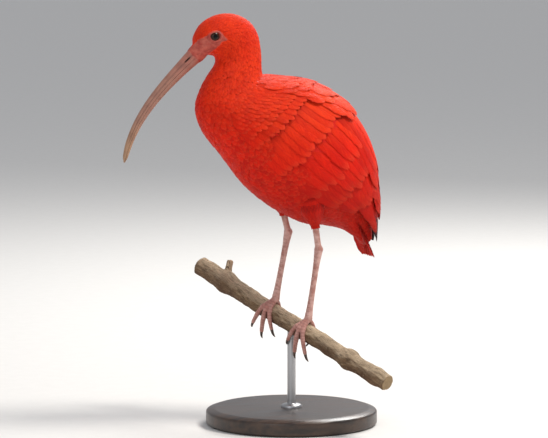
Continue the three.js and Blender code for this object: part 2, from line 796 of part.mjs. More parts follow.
// Wings lie in their beds, clear of the trunk, the thighs, the tail and each other
const HALF_SPACE = { size: [500, 100, 500], height: 150 };
const grownBody = bodyShape(GAP);
const tail = largest(tailSolid().subtract(grownBody));
addNode(ibis, "tail", tail, PLUMAGE);
const room = tailRoom();
for (const [name, side, seed] of [["right", 1, 11], ["left", -1, 23]]) {
  const leg = LEGS.find((l) => l.name === name);
  const otherHalf = new THREE.BoxGeometry(...HALF_SPACE.size);
  otherHalf.translate(0, side * (GAP - HALF_SPACE.size[1] / 2), HALF_SPACE.height);
  const wing = united([wingCore(side), ...wingVanes(side, seeded(seed))])
    .subtract(grownBody)
    .subtract(thigh(leg, GAP))
    .subtract(room)
    .subtract(solid(otherHalf));
  addNode(ibis, "wing_" + name, largest(wing), PLUMAGE);
}

// Legs, which are one form with thin cuts at the thigh's end, the ankle and the foot
const SHIN_CUT = [40, 40, GAP];
const ANKLE_CUT = [30, 30, GAP];
const FOOT_CUT = [16, 16, GAP];
const FOOT_CUT_SHARE = 0.07; // of the way from the foot's joint to the ankle
const SHIN_START = -0.35; // above the thigh's end, inside the thigh, as a share of the shin
const SHIN_ROWS = 5;
const SHANK_ROWS = 7;
const TOE_ROWS = 8;
const branch = branchSolid(0).add(twigStub());
const grownBranch = branchSolid(GAP);
for (const leg of LEGS) {
  const end = vector(leg.thighEnd);
  const ankle = vector(leg.ankle);
  const joint = vector(leg.foot);
  const shinCut = boxAt(end, ankle.clone().sub(end), SHIN_CUT);
  const shankRun = ankle.clone().sub(joint);
  const ankleCut = boxAt(ankle, shankRun, ANKLE_CUT);
  const footCut = boxAt(between(joint, ankle, FOOT_CUT_SHARE), shankRun, FOOT_CUT);
  const upper = between(end, ankle, SHIN_START);
  const shin = limb([upper, between(end, ankle, 0.6), ankle], SHIN_RADII, LEG_SIDES, SHIN_ROWS);
  const shank = limb([ankle, between(ankle, joint, 0.5), joint], SHANK_RADII, LEG_SIDES, SHANK_ROWS);
  const balls = [[ankle, ANKLE_RADIUS], [joint, HEEL_RADIUS]].map(([centre, radius]) =>
    solid(new THREE.SphereGeometry(radius, LEG_SIDES, JOINT_ROWS).translate(...centre.toArray())),
  );
  const toes = TOES.map((toe) => {
    const radii = TOE_SWELLS.map((swell) => swell * toe.radius);
    return limb(toeLine(leg, toe), radii, TOE_SIDES, TOE_ROWS);
  });
  const legForm = united([shin, shank, ...balls, ...toes])
    .subtract(shinCut)
    .subtract(ankleCut)
    .subtract(footCut)
    .subtract(grownBranch);
  const thighPiece = thigh(leg, 0).subtract(grownBody).subtract(shinCut);
  addNode(ibis, "thigh_" + leg.name, largest(thighPiece), PLUMAGE);
  const [, tibia, tarsus, foot] = pieces(legForm).sort(fromTheTop); // the first lies inside the thigh
  addNode(ibis, "tibia_" + leg.name, tibia, BARE_SKIN);
  addNode(ibis, "tarsus_" + leg.name, tarsus, BARE_SKIN);
  addNode(ibis, "foot_" + leg.name, foot, BARE_SKIN);
  for (const toe of TOES) {
    addNode(ibis, "claw_" + leg.name + "_" + toe.name, clawSolid(toeLine(leg, toe), toe), CLAW_HORN);
  }
}

// Branch and stand
addNode(ibis, "perch", branch, BARK);
const rodTop = FOOT_LEVEL + BRANCH_DROP;
const rodFoot = BASE_HEIGHT + GAP;

// Half outlines, as [radius, height] pairs
const BASE_OUTLINE = [
  [0, 0],
  [BASE_RADIUS - 3, 0],
  [BASE_RADIUS, 2.5],
  [BASE_RADIUS, BASE_HEIGHT - 7],
  [BASE_RADIUS - 2.5, BASE_HEIGHT - 2.5],
  [BASE_RADIUS - 8, BASE_HEIGHT],
  [0, BASE_HEIGHT],
];
const ROD_OUTLINE = [
  [0, rodFoot],
  [11, rodFoot],
  [11, BASE_HEIGHT + 2.2],
  [9.5, BASE_HEIGHT + 3.6],
  [ROD_RADIUS, BASE_HEIGHT + 4],
  [ROD_RADIUS, rodTop],
  [0, rodTop],
];

function turned(outline, sides) {
  const points = outline.map(([r, z]) => new THREE.Vector2(r, z));
  return solid(new THREE.LatheGeometry(points, sides).rotateX(Math.PI / 2));
}

addNode(display, "stand_base", turned(BASE_OUTLINE, BASE_SIDES), DARK_WOOD);
const branchInDisplay = grownBranch.translate([-branchMiddle.x, 0, FOOT_LEVEL]);
const rod = turned(ROD_OUTLINE, ROD_SIDES).subtract(branchInDisplay);
addNode(display, "stand_rod", largest(rod), STEEL);

export default display;
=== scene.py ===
"""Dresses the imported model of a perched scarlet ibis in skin, feathers, horn and bark, and sets its stage."""

import math

import bmesh
import bpy
import numpy as np
from bpy.props import FloatProperty, FloatVectorProperty, IntProperty, PointerProperty
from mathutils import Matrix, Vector, noise


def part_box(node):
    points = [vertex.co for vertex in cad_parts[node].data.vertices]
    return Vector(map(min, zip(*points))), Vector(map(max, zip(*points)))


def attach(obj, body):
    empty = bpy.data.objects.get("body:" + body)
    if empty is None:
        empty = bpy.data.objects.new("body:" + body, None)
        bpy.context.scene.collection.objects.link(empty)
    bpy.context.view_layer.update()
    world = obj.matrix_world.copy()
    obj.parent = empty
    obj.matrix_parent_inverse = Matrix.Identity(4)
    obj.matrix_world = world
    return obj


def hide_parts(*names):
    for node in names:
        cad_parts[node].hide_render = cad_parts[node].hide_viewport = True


bl_info = {
    "name": "Perched Scarlet Ibis",
    "version": (1, 0, 0),
    "blender": (4, 5, 0),
    "location": "3D View > Sidebar > Ibis",
    "description": "Builds the skin, plumage, bill, legs, branch and stand of a life-size scarlet ibis",
    "category": "Add Mesh",
}

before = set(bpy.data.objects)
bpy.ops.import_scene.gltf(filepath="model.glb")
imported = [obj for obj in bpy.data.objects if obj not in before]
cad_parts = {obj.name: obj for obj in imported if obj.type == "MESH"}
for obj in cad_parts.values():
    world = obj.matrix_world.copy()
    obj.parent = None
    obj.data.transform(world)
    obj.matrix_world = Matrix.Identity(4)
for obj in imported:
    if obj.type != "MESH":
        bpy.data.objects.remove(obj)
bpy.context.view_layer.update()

# ---- Sizes shared with the solids, in millimetres in the bird's own frame
MM = 0.001
PLACE = np.array([-1.5, 0.0, 110.0])  # of the bird's zero, from the middle of the base's underside
FACE_DEPTH = 0.25  # of the skin under the solids' surface, where it carries no long feathers

# lowest and highest point of each section as x and z, and its half width, from the bill's root to the rump
FRONT_SECTIONS = [
    ((-98, 284.5), (-109.4, 298.8), 8.6),
    ((-97, 286), (-107.8, 309.5), 12),
    ((-95, 287.5), (-98.5, 322.5), 16),
    ((-92.5, 288.5), (-82, 330.5), 18.2),
    ((-89.5, 288), (-63, 331), 19),
    ((-87, 287), (-46.5, 323.5), 19),
    ((-85.5, 285), (-37, 311), 19),
    ((-85, 281), (-33.5, 297), 19.5),
    ((-88, 274.5), (-32.5, 286.5), 21),
    ((-96, 263), (-32.5, 278), 23),
    ((-103, 249), (-32, 272), 25.5),
]
SHOULDER_SECTIONS = [
    ((-107, 234), (-31, 267.5), 29),
    ((-104.5, 219), (-24, 267.5), 34),
    ((-95.7, 202), (-9, 266), 41),
    ((-76.6, 179), (18, 261.5), 48),
    ((-57.4, 154), (43.5, 249), 52),
    ((-38.3, 136), (65.5, 232), 51.5),
    ((-14.4, 119.5), (83.5, 206), 47),
]
RUMP_SECTIONS = [
    ((14.4, 106), (86, 170), 33),
    ((38, 103), (90, 143), 24),
    ((58, 98), (92, 122), 17),
    ((73, 89), (94, 104), 11),
    ((84, 80), (94, 88), 6.5),
]
FOLDED_WING_SECTIONS = [
    ((14.4, 106), (95, 175.5), 38.5),
    ((38, 103.5), (100.5, 143), 30),
    ((60, 100), (102.5, 114), 22.5),
    ((80, 87), (100.5, 95), 15),
    ((90, 79), (99.5, 84), 9),
]
NECK_ROOT = len(FRONT_SECTIONS)
EYE_PLACE = np.array([-90.3, 13.2, 308.6])
EYE_RADIUS = 6.0
BILL_POINTS = np.array([[-103.9, 0, 291.4], [-146.8, 0, 252.8], [-177, 0, 222], [-185.4, 0, 177.5]])
BILL_HALF_DEPTHS = [9.2, 7.7, 6.8, 6.1, 5.5, 4.9, 4.3, 3.6, 2.2]
BILL_HALF_WIDTHS = [8.4, 6.4, 5.3, 4.7, 4.3, 3.9, 3.5, 3.1, 2.1]
MOUTH_HEIGHT = -0.1  # as a share of the half depth
TAIL_ROOT = np.array([70, 0, 118.0])
TAIL_RUN = np.array([0.425, 0, -0.905])
TAIL_ARCH = 0.012
THIGH_RADII = [17, 17.5, 15, 10.5, 5.2]
# angles from the back of the folded wing's upper and lower edge, and the stations between which they change
WING_TOP = {"angles": (46, 5), "falls": (0.8, 4.2)}
WING_LOW = {"angles": (100, 124, 62), "falls": (0.7, 2.2), "rises": (6.3, 10)}

BRANCH_RUN = np.array([0.398, -0.859, -0.318])
BRANCH_RADIUS = 9.5
BRANCH_LENGTH = 300.0
BRANCH_MIDDLE = np.array([1.5, 0, -1.5])
BRANCH_TAPER = 0.006
UPPER_RISE = {"from": 40, "curve": 0.00022}
LOWER_DROP = {"from": 45, "curve": 0.00012}
SWAY = {"size": 2.2, "length": 48, "between": (40, 90)}
KNOTS = [(-108, 2.6, 9), (92, 2.2, 8), (134, 1.4, 7)]  # place along the branch, height and spread

LEGS = {
    "right": {
        "side": 1,
        "knee": [-6, 25, 150],
        "thigh_end": [1, 24, 116],
        "ankle": [6, 22.5, 95],
        "foot": [-8.4, 22.6, 23],
    },
    "left": {
        "side": -1,
        "knee": [12, -25, 142],
        "thigh_end": [19.5, -24, 106],
        "ankle": [24, -22.5, 80],
        "foot": [12, -23.4, 6.5],
    },
}
TOE_BENDS = {1: (34, 62, 88), -1: (48, 84)}  # degrees round the branch, of front and back toes
TOE_GRIP = 0.72  # share of its radius at which a toe's middle lies off the bark
TOE_FAN = 0.85
TOE_CURL = 2.5  # how far a hanging toe's end turns back under the branch
TOES = {
    "1": {"reach": 10, "direction": -1, "spread": 0.1, "radius": 2.3},
    "2": {"reach": 15, "direction": 1, "spread": -0.5, "radius": 2.5},
    "3": {"reach": 23, "direction": 1, "spread": 0, "radius": 2.8},
    "4": {"reach": 19, "direction": 1, "spread": 0.5, "radius": 2.6},
}


# ---- Plain geometry
def unit(v):
    return np.asarray(v, float) / np.linalg.norm(v, axis=-1, keepdims=True)


def ramp(value, start, end):
    """0 before start, 1 after end, smooth between."""
    share = np.clip((np.asarray(value, float) - start) / (end - start), 0, 1)
    return share * share * (3 - 2 * share)


def mix(a, b, share):
    return a + (b - a) * share


def bell(value, middle, width):
    """1 at the middle, fading out over the width on either side."""
    return np.exp(-(((value - middle) / width) ** 2))


def one_sided(points):
    """The points, with those on the bird's left mirrored to its right."""
    return points * [1, 0, 1] + np.abs(points) * [0, 1, 0]


TAIL_RUN = unit(TAIL_RUN)
TAIL_RISE = np.array([-TAIL_RUN[2], 0, TAIL_RUN[0]])
BRANCH_RUN = unit(BRANCH_RUN)
BRANCH_FORWARD = -unit(np.cross([0, 0, 1], BRANCH_RUN))
BRANCH_UP = np.cross(BRANCH_FORWARD, BRANCH_RUN)
DEGREES_IN_RADIAN = 57.3


class SmoothLine:
    """A smooth line through points, read off at station 0 for the first point, 1 for the next and so on."""

    def __init__(self, points):
        p = np.array(points, float)
        self.last = len(p) - 1
        self.padded = np.vstack([2 * p[:1] - p[1:2], p, 2 * p[-1:] - p[-2:-1]])

    def at(self, station):
        x = np.clip(np.asarray(station, float), 0, self.last)
        i = np.minimum(x.astype(int), self.last - 1)
        t = (x - i)[..., None]
        p0, p1, p2, p3 = (self.padded[i + k] for k in range(4))
        m1, m2 = (p2 - p0) / 2, (p3 - p1) / 2
        t2, t3 = t * t, t * t * t
        return (2 * t3 - 3 * t2 + 1) * p1 + (t3 - 2 * t2 + t) * m1 + (3 * t2 - 2 * t3) * p2 + (t3 - t2) * m2


def profile(values):
    """A function from a share of the way to a smooth line through the values."""
    line = SmoothLine([[v] for v in values])
    return lambda share: line.at(np.asarray(share, float) * line.last)[..., 0]


class SectionedBody:
    """A smooth surface through sections: station s along it, angle round it from the back, lift above it."""

    walk = 24  # steps in which advance follows the surface

    def __init__(self, sections):
        self.line = SmoothLine([[*under, *over, half] for under, over, half in sections])
        self.last = self.line.last

    def point(self, s, angle, lift=0.0):
        s, angle, lift = np.broadcast_arrays(*(np.asarray(v, float) for v in (s, angle, lift)))
        row = self.line.at(s)
        low, high, half = row[..., 0:2], row[..., 2:4], row[..., 4]
        centre, up = (low + high) / 2, (high - low) / 2
        tall = np.linalg.norm(up, axis=-1)
        up = up / tall[..., None]
        turned = np.radians(angle)
        rise = (tall + lift) * np.cos(turned)
        across = (half + lift) * np.sin(turned)
        return np.stack([centre[..., 0] + up[..., 0] * rise, across, centre[..., 1] + up[..., 1] * rise], -1)

    def degrees(self, s, angle):
        """Degrees round it for each mm."""
        span = self.point(s, angle + 0.5) - self.point(s, angle - 0.5)
        return 1 / np.maximum(np.linalg.norm(span, axis=-1), 1e-3)

    def stations(self, s, angle):
        """Stations along it for each mm."""
        s = np.clip(s, 0.05, self.last - 0.05)
        span = self.point(s + 0.05, angle) - self.point(s - 0.05, angle)
        return 0.1 / np.maximum(np.linalg.norm(span, axis=-1), 1e-3)

    def advance(self, s, angle, distance):
        """The station that lies a distance in mm further along the surface."""
        at = np.array(s, float)
        for _ in range(self.walk):
            at = np.minimum(at + self.stations(at, angle) * distance / self.walk, self.last)
        return at

    def unwrap(self, s, angle):
        """Where a feather's root lies on the map, which this body fills but for a margin."""
        turn = (np.asarray(angle) / 360) % 1
        return np.stack([0.02 + 0.96 * turn, 0.02 + 0.95 * np.asarray(s) / self.last], -1)


class TailFan:
    """The spread tail: distance along it, distance across it, height above it."""

    last = 62.0

    def __init__(self, page):
        self.page = page  # 0 for the upper face and 1 for the lower, side by side on the map

    def point(self, u, v, lift=0.0):
        u, v, lift = np.broadcast_arrays(*(np.asarray(x, float) for x in (u, v, lift)))
        p = TAIL_ROOT + u[..., None] * TAIL_RUN + (lift - TAIL_ARCH * v * v)[..., None] * TAIL_RISE
        p[..., 1] += v
        return p

    def degrees(self, u, v):
        return np.ones(np.shape(v))

    def unwrap(self, u, v):
        return np.stack([0.2 + 0.3 * self.page + np.asarray(v) / 120, 0.1 + np.asarray(u) / 80], -1)


class ThighCone:
    """The feathered thigh, from its knee inside the body to its lower end."""

    last = 4.0
    reach = 9.0  # length in mm of each station past the last
    least_radius = 2

    def __init__(self, leg):
        self.page = 0.26 - 0.24 * leg["side"]  # where its half of the map begins
        knee, end = np.array(leg["knee"], float), np.array(leg["thigh_end"], float)
        self.line = SmoothLine([mix(knee, end, k / 4) for k in range(5)])
        self.radius = profile(THIGH_RADII)
        self.along = unit(end - knee)
        self.front = unit(np.cross([0, 1, 0], self.along))
        self.side = np.cross(self.along, self.front)

    def point(self, s, angle, lift=0.0):
        s, angle, lift = np.broadcast_arrays(*(np.asarray(x, float) for x in (s, angle, lift)))
        turned = np.radians(angle)
        r = self.radius(np.clip(s / self.last, 0, 1)) + lift
        middle = self.line.at(s) + np.maximum(s - self.last, 0)[..., None] * self.reach * self.along
        forward, aside = (r * np.cos(turned))[..., None], (r * np.sin(turned))[..., None]
        return middle + forward * self.front + aside * self.side

    def degrees(self, s, angle):
        radius = self.radius(np.clip(s / self.last, 0, 1))
        return DEGREES_IN_RADIAN / np.maximum(radius, self.least_radius)

    def unwrap(self, s, angle):
        return np.stack([self.page + 0.46 * ((np.asarray(angle) / 360) % 1), 0.05 + 0.17 * np.asarray(s)], -1)


trunk = SectionedBody(FRONT_SECTIONS + SHOULDER_SECTIONS + RUMP_SECTIONS)
folded = SectionedBody(SHOULDER_SECTIONS + FOLDED_WING_SECTIONS)


def wing_edges(s):
    """Angles of the folded wing's upper and lower edge at its station s."""
    front, middle, back = WING_LOW["angles"]
    top = mix(*WING_TOP["angles"], ramp(s, *WING_TOP["falls"]))
    low = mix(mix(front, middle, ramp(s, *WING_LOW["falls"])), back, ramp(s, *WING_LOW["rises"]))
    return top, low


def skin_level(s, depth):
    """Height of the skin from the solids' surface: just under it on the face, by its depth on the body."""
    return mix(-FACE_DEPTH, -depth, ramp(s, 2.8, 7))


def bill_frame(share):
    """Middle, direction and upward normal of the bill at a share of its length."""
    t = np.asarray(share, float)[..., None]
    a, b, c, d = BILL_POINTS
    centre = (1 - t) ** 3 * a + 3 * t * (1 - t) ** 2 * b + 3 * t * t * (1 - t) * c + t**3 * d
    along = unit(3 * (1 - t) ** 2 * (b - a) + 6 * t * (1 - t) * (c - b) + 3 * t * t * (d - c))
    up = np.stack([along[..., 2], np.zeros(along.shape[:-1]), -along[..., 0]], -1)
    return centre, along, np.where(up[..., 2:] > 0, up, -up)


def bill_halves(share):
    """Half depth and half width of the bill at a share of its length."""
    share = np.clip(share, 0, 1)
    return profile(BILL_HALF_DEPTHS)(share), profile(BILL_HALF_WIDTHS)(share)


def branch_line(q):
    """The branch's middle line at a distance q from its own middle, towards its lower end."""
    q = np.asarray(q, float)
    rise = UPPER_RISE["curve"] * np.maximum(0, -q - UPPER_RISE["from"]) ** 2
    drop = LOWER_DROP["curve"] * np.maximum(0, q - LOWER_DROP["from"]) ** 2
    sway = SWAY["size"] * np.sin(q / SWAY["length"]) * ramp(np.abs(q), *SWAY["between"])
    line = BRANCH_MIDDLE + q[..., None] * BRANCH_RUN + (rise - drop)[..., None] * BRANCH_UP
    return line + sway[..., None] * BRANCH_FORWARD


def branch_radius(q):
    return BRANCH_RADIUS - BRANCH_TAPER * q + sum(size * bell(q, at, wide) for at, size, wide in KNOTS)


def toe_line(leg, toe):
    """Points along a toe, from the foot's joint over the bark to the root of its claw."""
    joint, direction = np.array(leg["foot"], float), toe["direction"]
    q = float((joint - BRANCH_MIDDLE) @ BRANCH_RUN)
    ring = BRANCH_RADIUS + toe["radius"] * TOE_GRIP
    lean = -leg["side"] * toe["spread"] * TOE_FAN
    points = [joint]
    for bend in TOE_BENDS[direction]:
        turned = math.radians(bend)
        out = math.cos(turned) * BRANCH_UP + direction * math.sin(turned) * BRANCH_FORWARD
        points.append(branch_line(q + lean * turned * ring) + ring * out)
    last = points[-1]
    for share in (0.5, 1):
        hang = -toe["reach"] * share * BRANCH_UP - direction * TOE_CURL * share * share * BRANCH_FORWARD
        points.append(last + hang + lean * toe["reach"] * share * BRANCH_RUN)
    return np.array(points)


# ---- Meshes
def mesh_from(name, points, faces):
    """A mesh of quads or triangles, from points in the bird's frame."""
    faces = np.asarray(faces)
    mesh = bpy.data.meshes.new(name)
    mesh.vertices.add(len(points))
    mesh.vertices.foreach_set("co", ((points + PLACE) * MM).astype(np.float32).ravel())
    mesh.loops.add(faces.size)
    mesh.loops.foreach_set("vertex_index", faces.astype(np.int32).ravel())
    mesh.polygons.add(len(faces))
    mesh.polygons.foreach_set("loop_start", np.arange(0, faces.size, faces.shape[1], dtype=np.int32))
    mesh.update(calc_edges=True)
    mesh.validate()
    return mesh


def add_piece(name, mesh, slot, *replaced, smooth_angle=60):
    """Links a piece, smooth but for edges sharper than an angle, in place of CAD nodes. The slot is not used.
    """
    piece = bpy.data.objects.new(name, mesh)
    bpy.context.scene.collection.objects.link(piece)
    mesh.shade_smooth()
    mesh.set_sharp_from_angle(angle=math.radians(smooth_angle))
    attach(piece, "root")
    if replaced:
        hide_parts(*replaced)


def ring_faces(rings, around):
    """Quads between closed rings of points."""
    i, j = np.meshgrid(np.arange(rings - 1), np.arange(around), indexing="ij")
    a, b = i * around + j, i * around + (j + 1) % around
    return np.stack([a, b, b + around, a + around], -1).reshape(-1, 4)


def tube(centres, radii, sides, start_across=(0, 1, 0)):
    """Points and triangles of a closed round limb along centres."""
    centres = np.asarray(centres, float)
    along = unit(np.gradient(centres, axis=0))
    across = np.array(start_across, float)
    angle = np.arange(sides) * 2 * math.pi / sides
    points = []
    for centre, direction, radius in zip(centres, along, radii):
        across = unit(across - (across @ direction) * direction)
        up = np.cross(direction, across)
        points.append(centre + radius * (np.cos(angle)[:, None] * across + np.sin(angle)[:, None] * up))
    return capped(np.array(points))


def limb(points, radii, sides=16, steps=24):
    """Points and triangles of a closed round limb, smooth through points and radii."""
    share = np.linspace(0, 1, steps)
    line = SmoothLine(points)
    return tube(line.at(share * line.last), profile(radii)(share), sides)


def capped(rings):
    """Points and triangles of a closed body through rings of points, with a fan over each end."""
    rows, around = rings.shape[:2]
    quads = ring_faces(rows, around)
    j = np.arange(around)
    k = (j + 1) % around
    count = rows * around
    caps = [
        np.stack([k, j, np.full(around, count)], -1),
        np.stack([count - around + j, count - around + k, np.full(around, count + 1)], -1),
    ]
    points = np.vstack([rings.reshape(-1, 3), rings[[0, -1]].mean(1)])
    return points, np.vstack([quads[:, [0, 1, 2]], quads[:, [0, 2, 3]], *caps])


def loft(surface, stations, angles, lifts):
    """Points and triangles of a closed body through a surface's rings, each with a lift of its own."""
    s, angle = np.meshgrid(stations, angles, indexing="ij")
    return capped(surface.point(s, angle, lifts[:, None]))


def ball(centre, radius, rows=16, columns=24):
    pole = 0.02  # radians left open round either end, so that no ring is a point
    polar = np.linspace(pole, math.pi - pole, rows)
    line = np.array(centre, float) + np.outer(np.cos(polar), [0, 0, radius])
    return tube(line, np.sin(polar) * radius, columns)


def oriented(points, triangles):
    """The same body, turned inside out if its faces look inward."""
    a, b, c = (points[triangles[:, k]] for k in range(3))
    volume = np.einsum("ij,ij->", a, np.cross(b, c))
    return points, triangles if volume >= 0 else triangles[:, ::-1]


def fused(name, bodies, voxel, smoothing):
    """Closed bodies melted into one skin of even faces, with no seams between them."""
    all_points, all_triangles, count = [], [], 0
    for body in bodies:
        points, triangles = oriented(*body)
        all_points.append(points)
        all_triangles.append(triangles + count)
        count += len(points)
    apart = mesh_from(name, np.vstack(all_points), np.vstack(all_triangles))
    rough = bpy.data.objects.new(name + "_rough", apart)
    bpy.context.scene.collection.objects.link(rough)
    melt = rough.modifiers.new("melt", "REMESH")
    melt.mode = "VOXEL"
    melt.voxel_size = voxel * MM
    relax = rough.modifiers.new("relax", "SMOOTH")
    relax.factor = 0.5
    relax.iterations = smoothing
    done = bpy.data.meshes.new_from_object(rough.evaluated_get(bpy.context.evaluated_depsgraph_get()))
    done.name = name
    bpy.data.objects.remove(rough)
    return done


def vectors_of(mesh, name):
    flat = np.zeros(len(mesh.vertices) * 3, np.float32)
    mesh.vertices.foreach_get(name, flat)
    return flat.reshape(-1, 3).astype(float)


def points_of(mesh):
    return vectors_of(mesh, "co") / MM - PLACE


def normals_of(mesh):
    return vectors_of(mesh, "normal")


def set_points(mesh, points):
    mesh.vertices.foreach_set("co", ((points + PLACE) * MM).astype(np.float32).ravel())
    mesh.update()


def mark(mesh, name, values):
    """Gives each point of a mesh a number that its material reads."""
    attribute = mesh.attributes.new(name, "FLOAT", "POINT")
    attribute.data.foreach_set("value", np.asarray(values, np.float32))


def grain(points, scale, octaves=3):
    """Smooth noise from about -1 to 1 at points, one value each."""
    return np.array([noise.fractal(Vector(p), 0.9, 2.1, octaves) for p in points / scale])


# ---- Feathers
# width of each kind of feather, as shares of its length and of its full width
CONTOUR = [[0.0, 0.42], [0.3, 0.86], [0.55, 1.0], [0.75, 0.93], [0.9, 0.62], [1.0, 0.2]]
PRIMARY = [[0.0, 0.5], [0.15, 0.8], [0.6, 1.0], [0.82, 0.86], [0.93, 0.6], [0.98, 0.38], [1.0, 0.16]]
FLIGHT = [[0.0, 0.5], [0.15, 0.78], [0.4, 0.97], [0.7, 1.0], [0.86, 0.84], [0.95, 0.55], [1.0, 0.2]]


def outline_width(outline, t):
    shape = np.array(outline)
    return np.interp(t, shape[:, 0], shape[:, 1])


class Coat:
    """Collects vanes that lie along surfaces, and makes them one piece with its maps."""

    TIP_CROWDING = 0.85
    WOBBLE = 0.08  # of a vane's width, as a share
    THINNING = 0.6  # towards edges and tip, as a share of the thickness
    PATCH = (0.0015, 0.003)  # half width and length of a vane on the map
    INKED = (0.5, 0.72)  # shares of the length between which a dark tip sets in

    def __init__(self, seed):
        self.random = np.random.default_rng(seed)
        self.points, self.faces, self.maps, self.vanes, self.tones, self.inks = [], [], [], [], [], []
        self.count = 0

    def lay(self, surface, start, end, width, lift, rows=7, columns=5, outline=CONTOUR, roll=0.0, camber=0.5,
            thick=0.25, ragged=0.06, ink=0.0, bend=0.0):
        """Lays vanes from start to end on a surface, with their height over it at root and tip."""
        start, end = np.atleast_2d(start).astype(float), np.atleast_2d(end).astype(float)
        n = len(start)

        def each(values):
            return np.broadcast_to(np.asarray(values, float), n)[:, None, None]

        lift = np.broadcast_to(np.asarray(lift, float), (n, 2))
        t_line = np.linspace(0, 1, rows) ** self.TIP_CROWDING
        v_line = np.linspace(-1, 1, columns)
        along = t_line[None, :, None]
        t = along * (1 - ragged * self.random.random((n, 1, columns)) * (along**3))
        v = np.broadcast_to(v_line[None, None, :], (n, rows, columns))
        wobble = 1 + self.WOBBLE * self.random.normal(size=(n, rows, 1)) * along
        spread = outline_width(outline, t_line)[None, :, None] * wobble
        s = mix(each(start[:, 0]), each(end[:, 0]), t)
        middle = mix(each(start[:, 1]), each(end[:, 1]), t)
        angle = middle + (each(width) / 2 * v * spread + each(bend) * t * t) * surface.degrees(s, middle)
        height = mix(each(lift[:, 0]), each(lift[:, 1]), t)
        height = height + each(camber) * (1 - v * v) * spread + each(roll) * v * spread
        top = surface.point(s, angle, height)
        thick = thick * (1 - self.THINNING * v * v) * (1 - self.THINNING * t)
        under = surface.point(s, angle, height - thick)
        grid = np.arange(rows * columns).reshape(rows, columns)
        quads = np.stack([grid[:-1, :-1], grid[:-1, 1:], grid[1:, 1:], grid[1:, :-1]], -1).reshape(-1, 4)
        edge = np.concatenate([grid[0, :], grid[1:, -1], grid[-1, -2::-1], grid[-2:0:-1, 0]])
        following = np.roll(edge, -1)
        size = rows * columns
        rim = np.stack([edge, edge + size, following + size, following], -1)
        template = np.vstack([quads, quads[:, ::-1] + size, rim])
        block = np.concatenate([top.reshape(n, size, 3), under.reshape(n, size, 3)], 1)
        offsets = self.count + np.arange(n)[:, None, None] * 2 * size
        self.points.append(block.reshape(-1, 3))
        self.faces.append((template[None] + offsets).reshape(-1, 4))
        self.count += n * 2 * size
        across, down = np.meshgrid(v_line, t_line)
        # place on the vane, from -1 to 1 across it and from 0 to 1 along it
        local = np.stack([across.ravel(), down.ravel()], -1)
        root = surface.unwrap(start[:, 0], start[:, 1])
        patch = root[:, None, :] + local[None] * self.PATCH
        self.maps.append(np.concatenate([patch, patch], 1).reshape(-1, 2))
        vane = np.broadcast_to(local[None] * [0.5, 1.0] + [0.5, 0.0], (n, size, 2))
        self.vanes.append(np.concatenate([vane, vane], 1).reshape(-1, 2))
        self.tones.append(np.repeat(self.random.random(n), 2 * size))
        dark = each(ink)[:, 0] * ramp(local[None, :, 1], *self.INKED)
        self.inks.append(np.concatenate([dark, dark], 1).ravel())

    def piece(self, name, slot, finish, *replaced):
        mesh = mesh_from(name, np.vstack(self.points), np.vstack(self.faces))
        corners = np.zeros(len(mesh.loops), np.int32)
        mesh.loops.foreach_get("vertex_index", corners)
        for map_name, values in (("OFBake", self.maps), ("Vane", self.vanes)):
            layer = mesh.uv_layers.new(name=map_name)
            layer.data.foreach_set("uv", np.vstack(values)[corners].astype(np.float32).ravel())
        mesh.uv_layers["OFBake"].active_render = True
        mark(mesh, "tone", np.concatenate(self.tones))
        mark(mesh, "ink", np.concatenate(self.inks))
        add_piece(name, mesh, slot, *replaced)
        mesh.materials.append(finish)


def scattered(surface, first, last, spacing, random, overlap):
    """Roots spread over a surface, row by row from front to back, with a spacing in mm at each station."""
    fine = np.arange(0, 361, 4.0)
    stray, spare, fewest = 0.35, 1.08, 6
    roots = []
    s = first
    while s < last:
        gap = spacing(s)
        ring = surface.point(s, fine)
        steps = np.concatenate([[0], np.cumsum(np.linalg.norm(np.diff(ring, axis=0), axis=1))])
        count = max(fewest, int(steps[-1] / gap))
        places = (np.arange(count) + random.random() + stray * random.random(count)) / count
        angles = np.interp(places % 1 * steps[-1], steps, fine)
        per_mm = surface.stations(np.full(count, s), angles)
        advance = float(np.min(per_mm)) * gap * overlap
        kept = random.random(count) < advance / per_mm / (gap * overlap) * spare
        jitter = (random.random(count) - 0.5) * advance * 0.8
        roots.append(np.stack([s + jitter, angles], -1)[kept])
        s += advance
    roots = np.vstack(roots)
    roots[:, 0] = np.clip(roots[:, 0], 0, surface.last)
    return roots


def to_segment(points, a, b):
    """Distance of points from the straight line between two places, and the share of it they are at."""
    a, b = np.array(a, float), np.array(b, float)
    t = np.clip((points - a) @ (b - a) / ((b - a) @ (b - a)), 0, 1)
    return np.linalg.norm(points - a - t[..., None] * (b - a), axis=-1), t


# ends of each patch of naked skin and its half width at both, on the right side of the face
NAKED = [
    ((-114, 0, 282), (-108, 0, 288), 13, 10.5),
    ((-105, 8, 294), (-89, 17.2, 307), 9.2, 7.9),
    ((-89, 17.2, 307), (-79, 18, 305.5), 6.8, 2.0),
    ((-99, 5, 286), (-90, 8, 288), 5.6, 2.6),
    ((-100, 9, 289), (-90, 16, 299), 4.5, 3.5),
]


def from_eye(points):
    """Distance of points from either eye, seen from the side."""
    return np.hypot(points[:, 0] - EYE_PLACE[0], points[:, 2] - EYE_PLACE[2])


def bareness(points):
    """1 on the naked skin of the face, from the bill past the eye and under the chin, and 0 elsewhere."""
    mirrored = one_sided(points)
    outside = np.full(len(points), 99.0)
    for a, b, first, last in NAKED:
        distance, t = to_segment(mirrored, a, b)
        outside = np.minimum(outside, distance - mix(first, last, t))
    close = outside < 4
    outside[close] += 0.9 * grain(mirrored[close], 3.2)
    return 1 - ramp(outside, -0.8, 0.8)


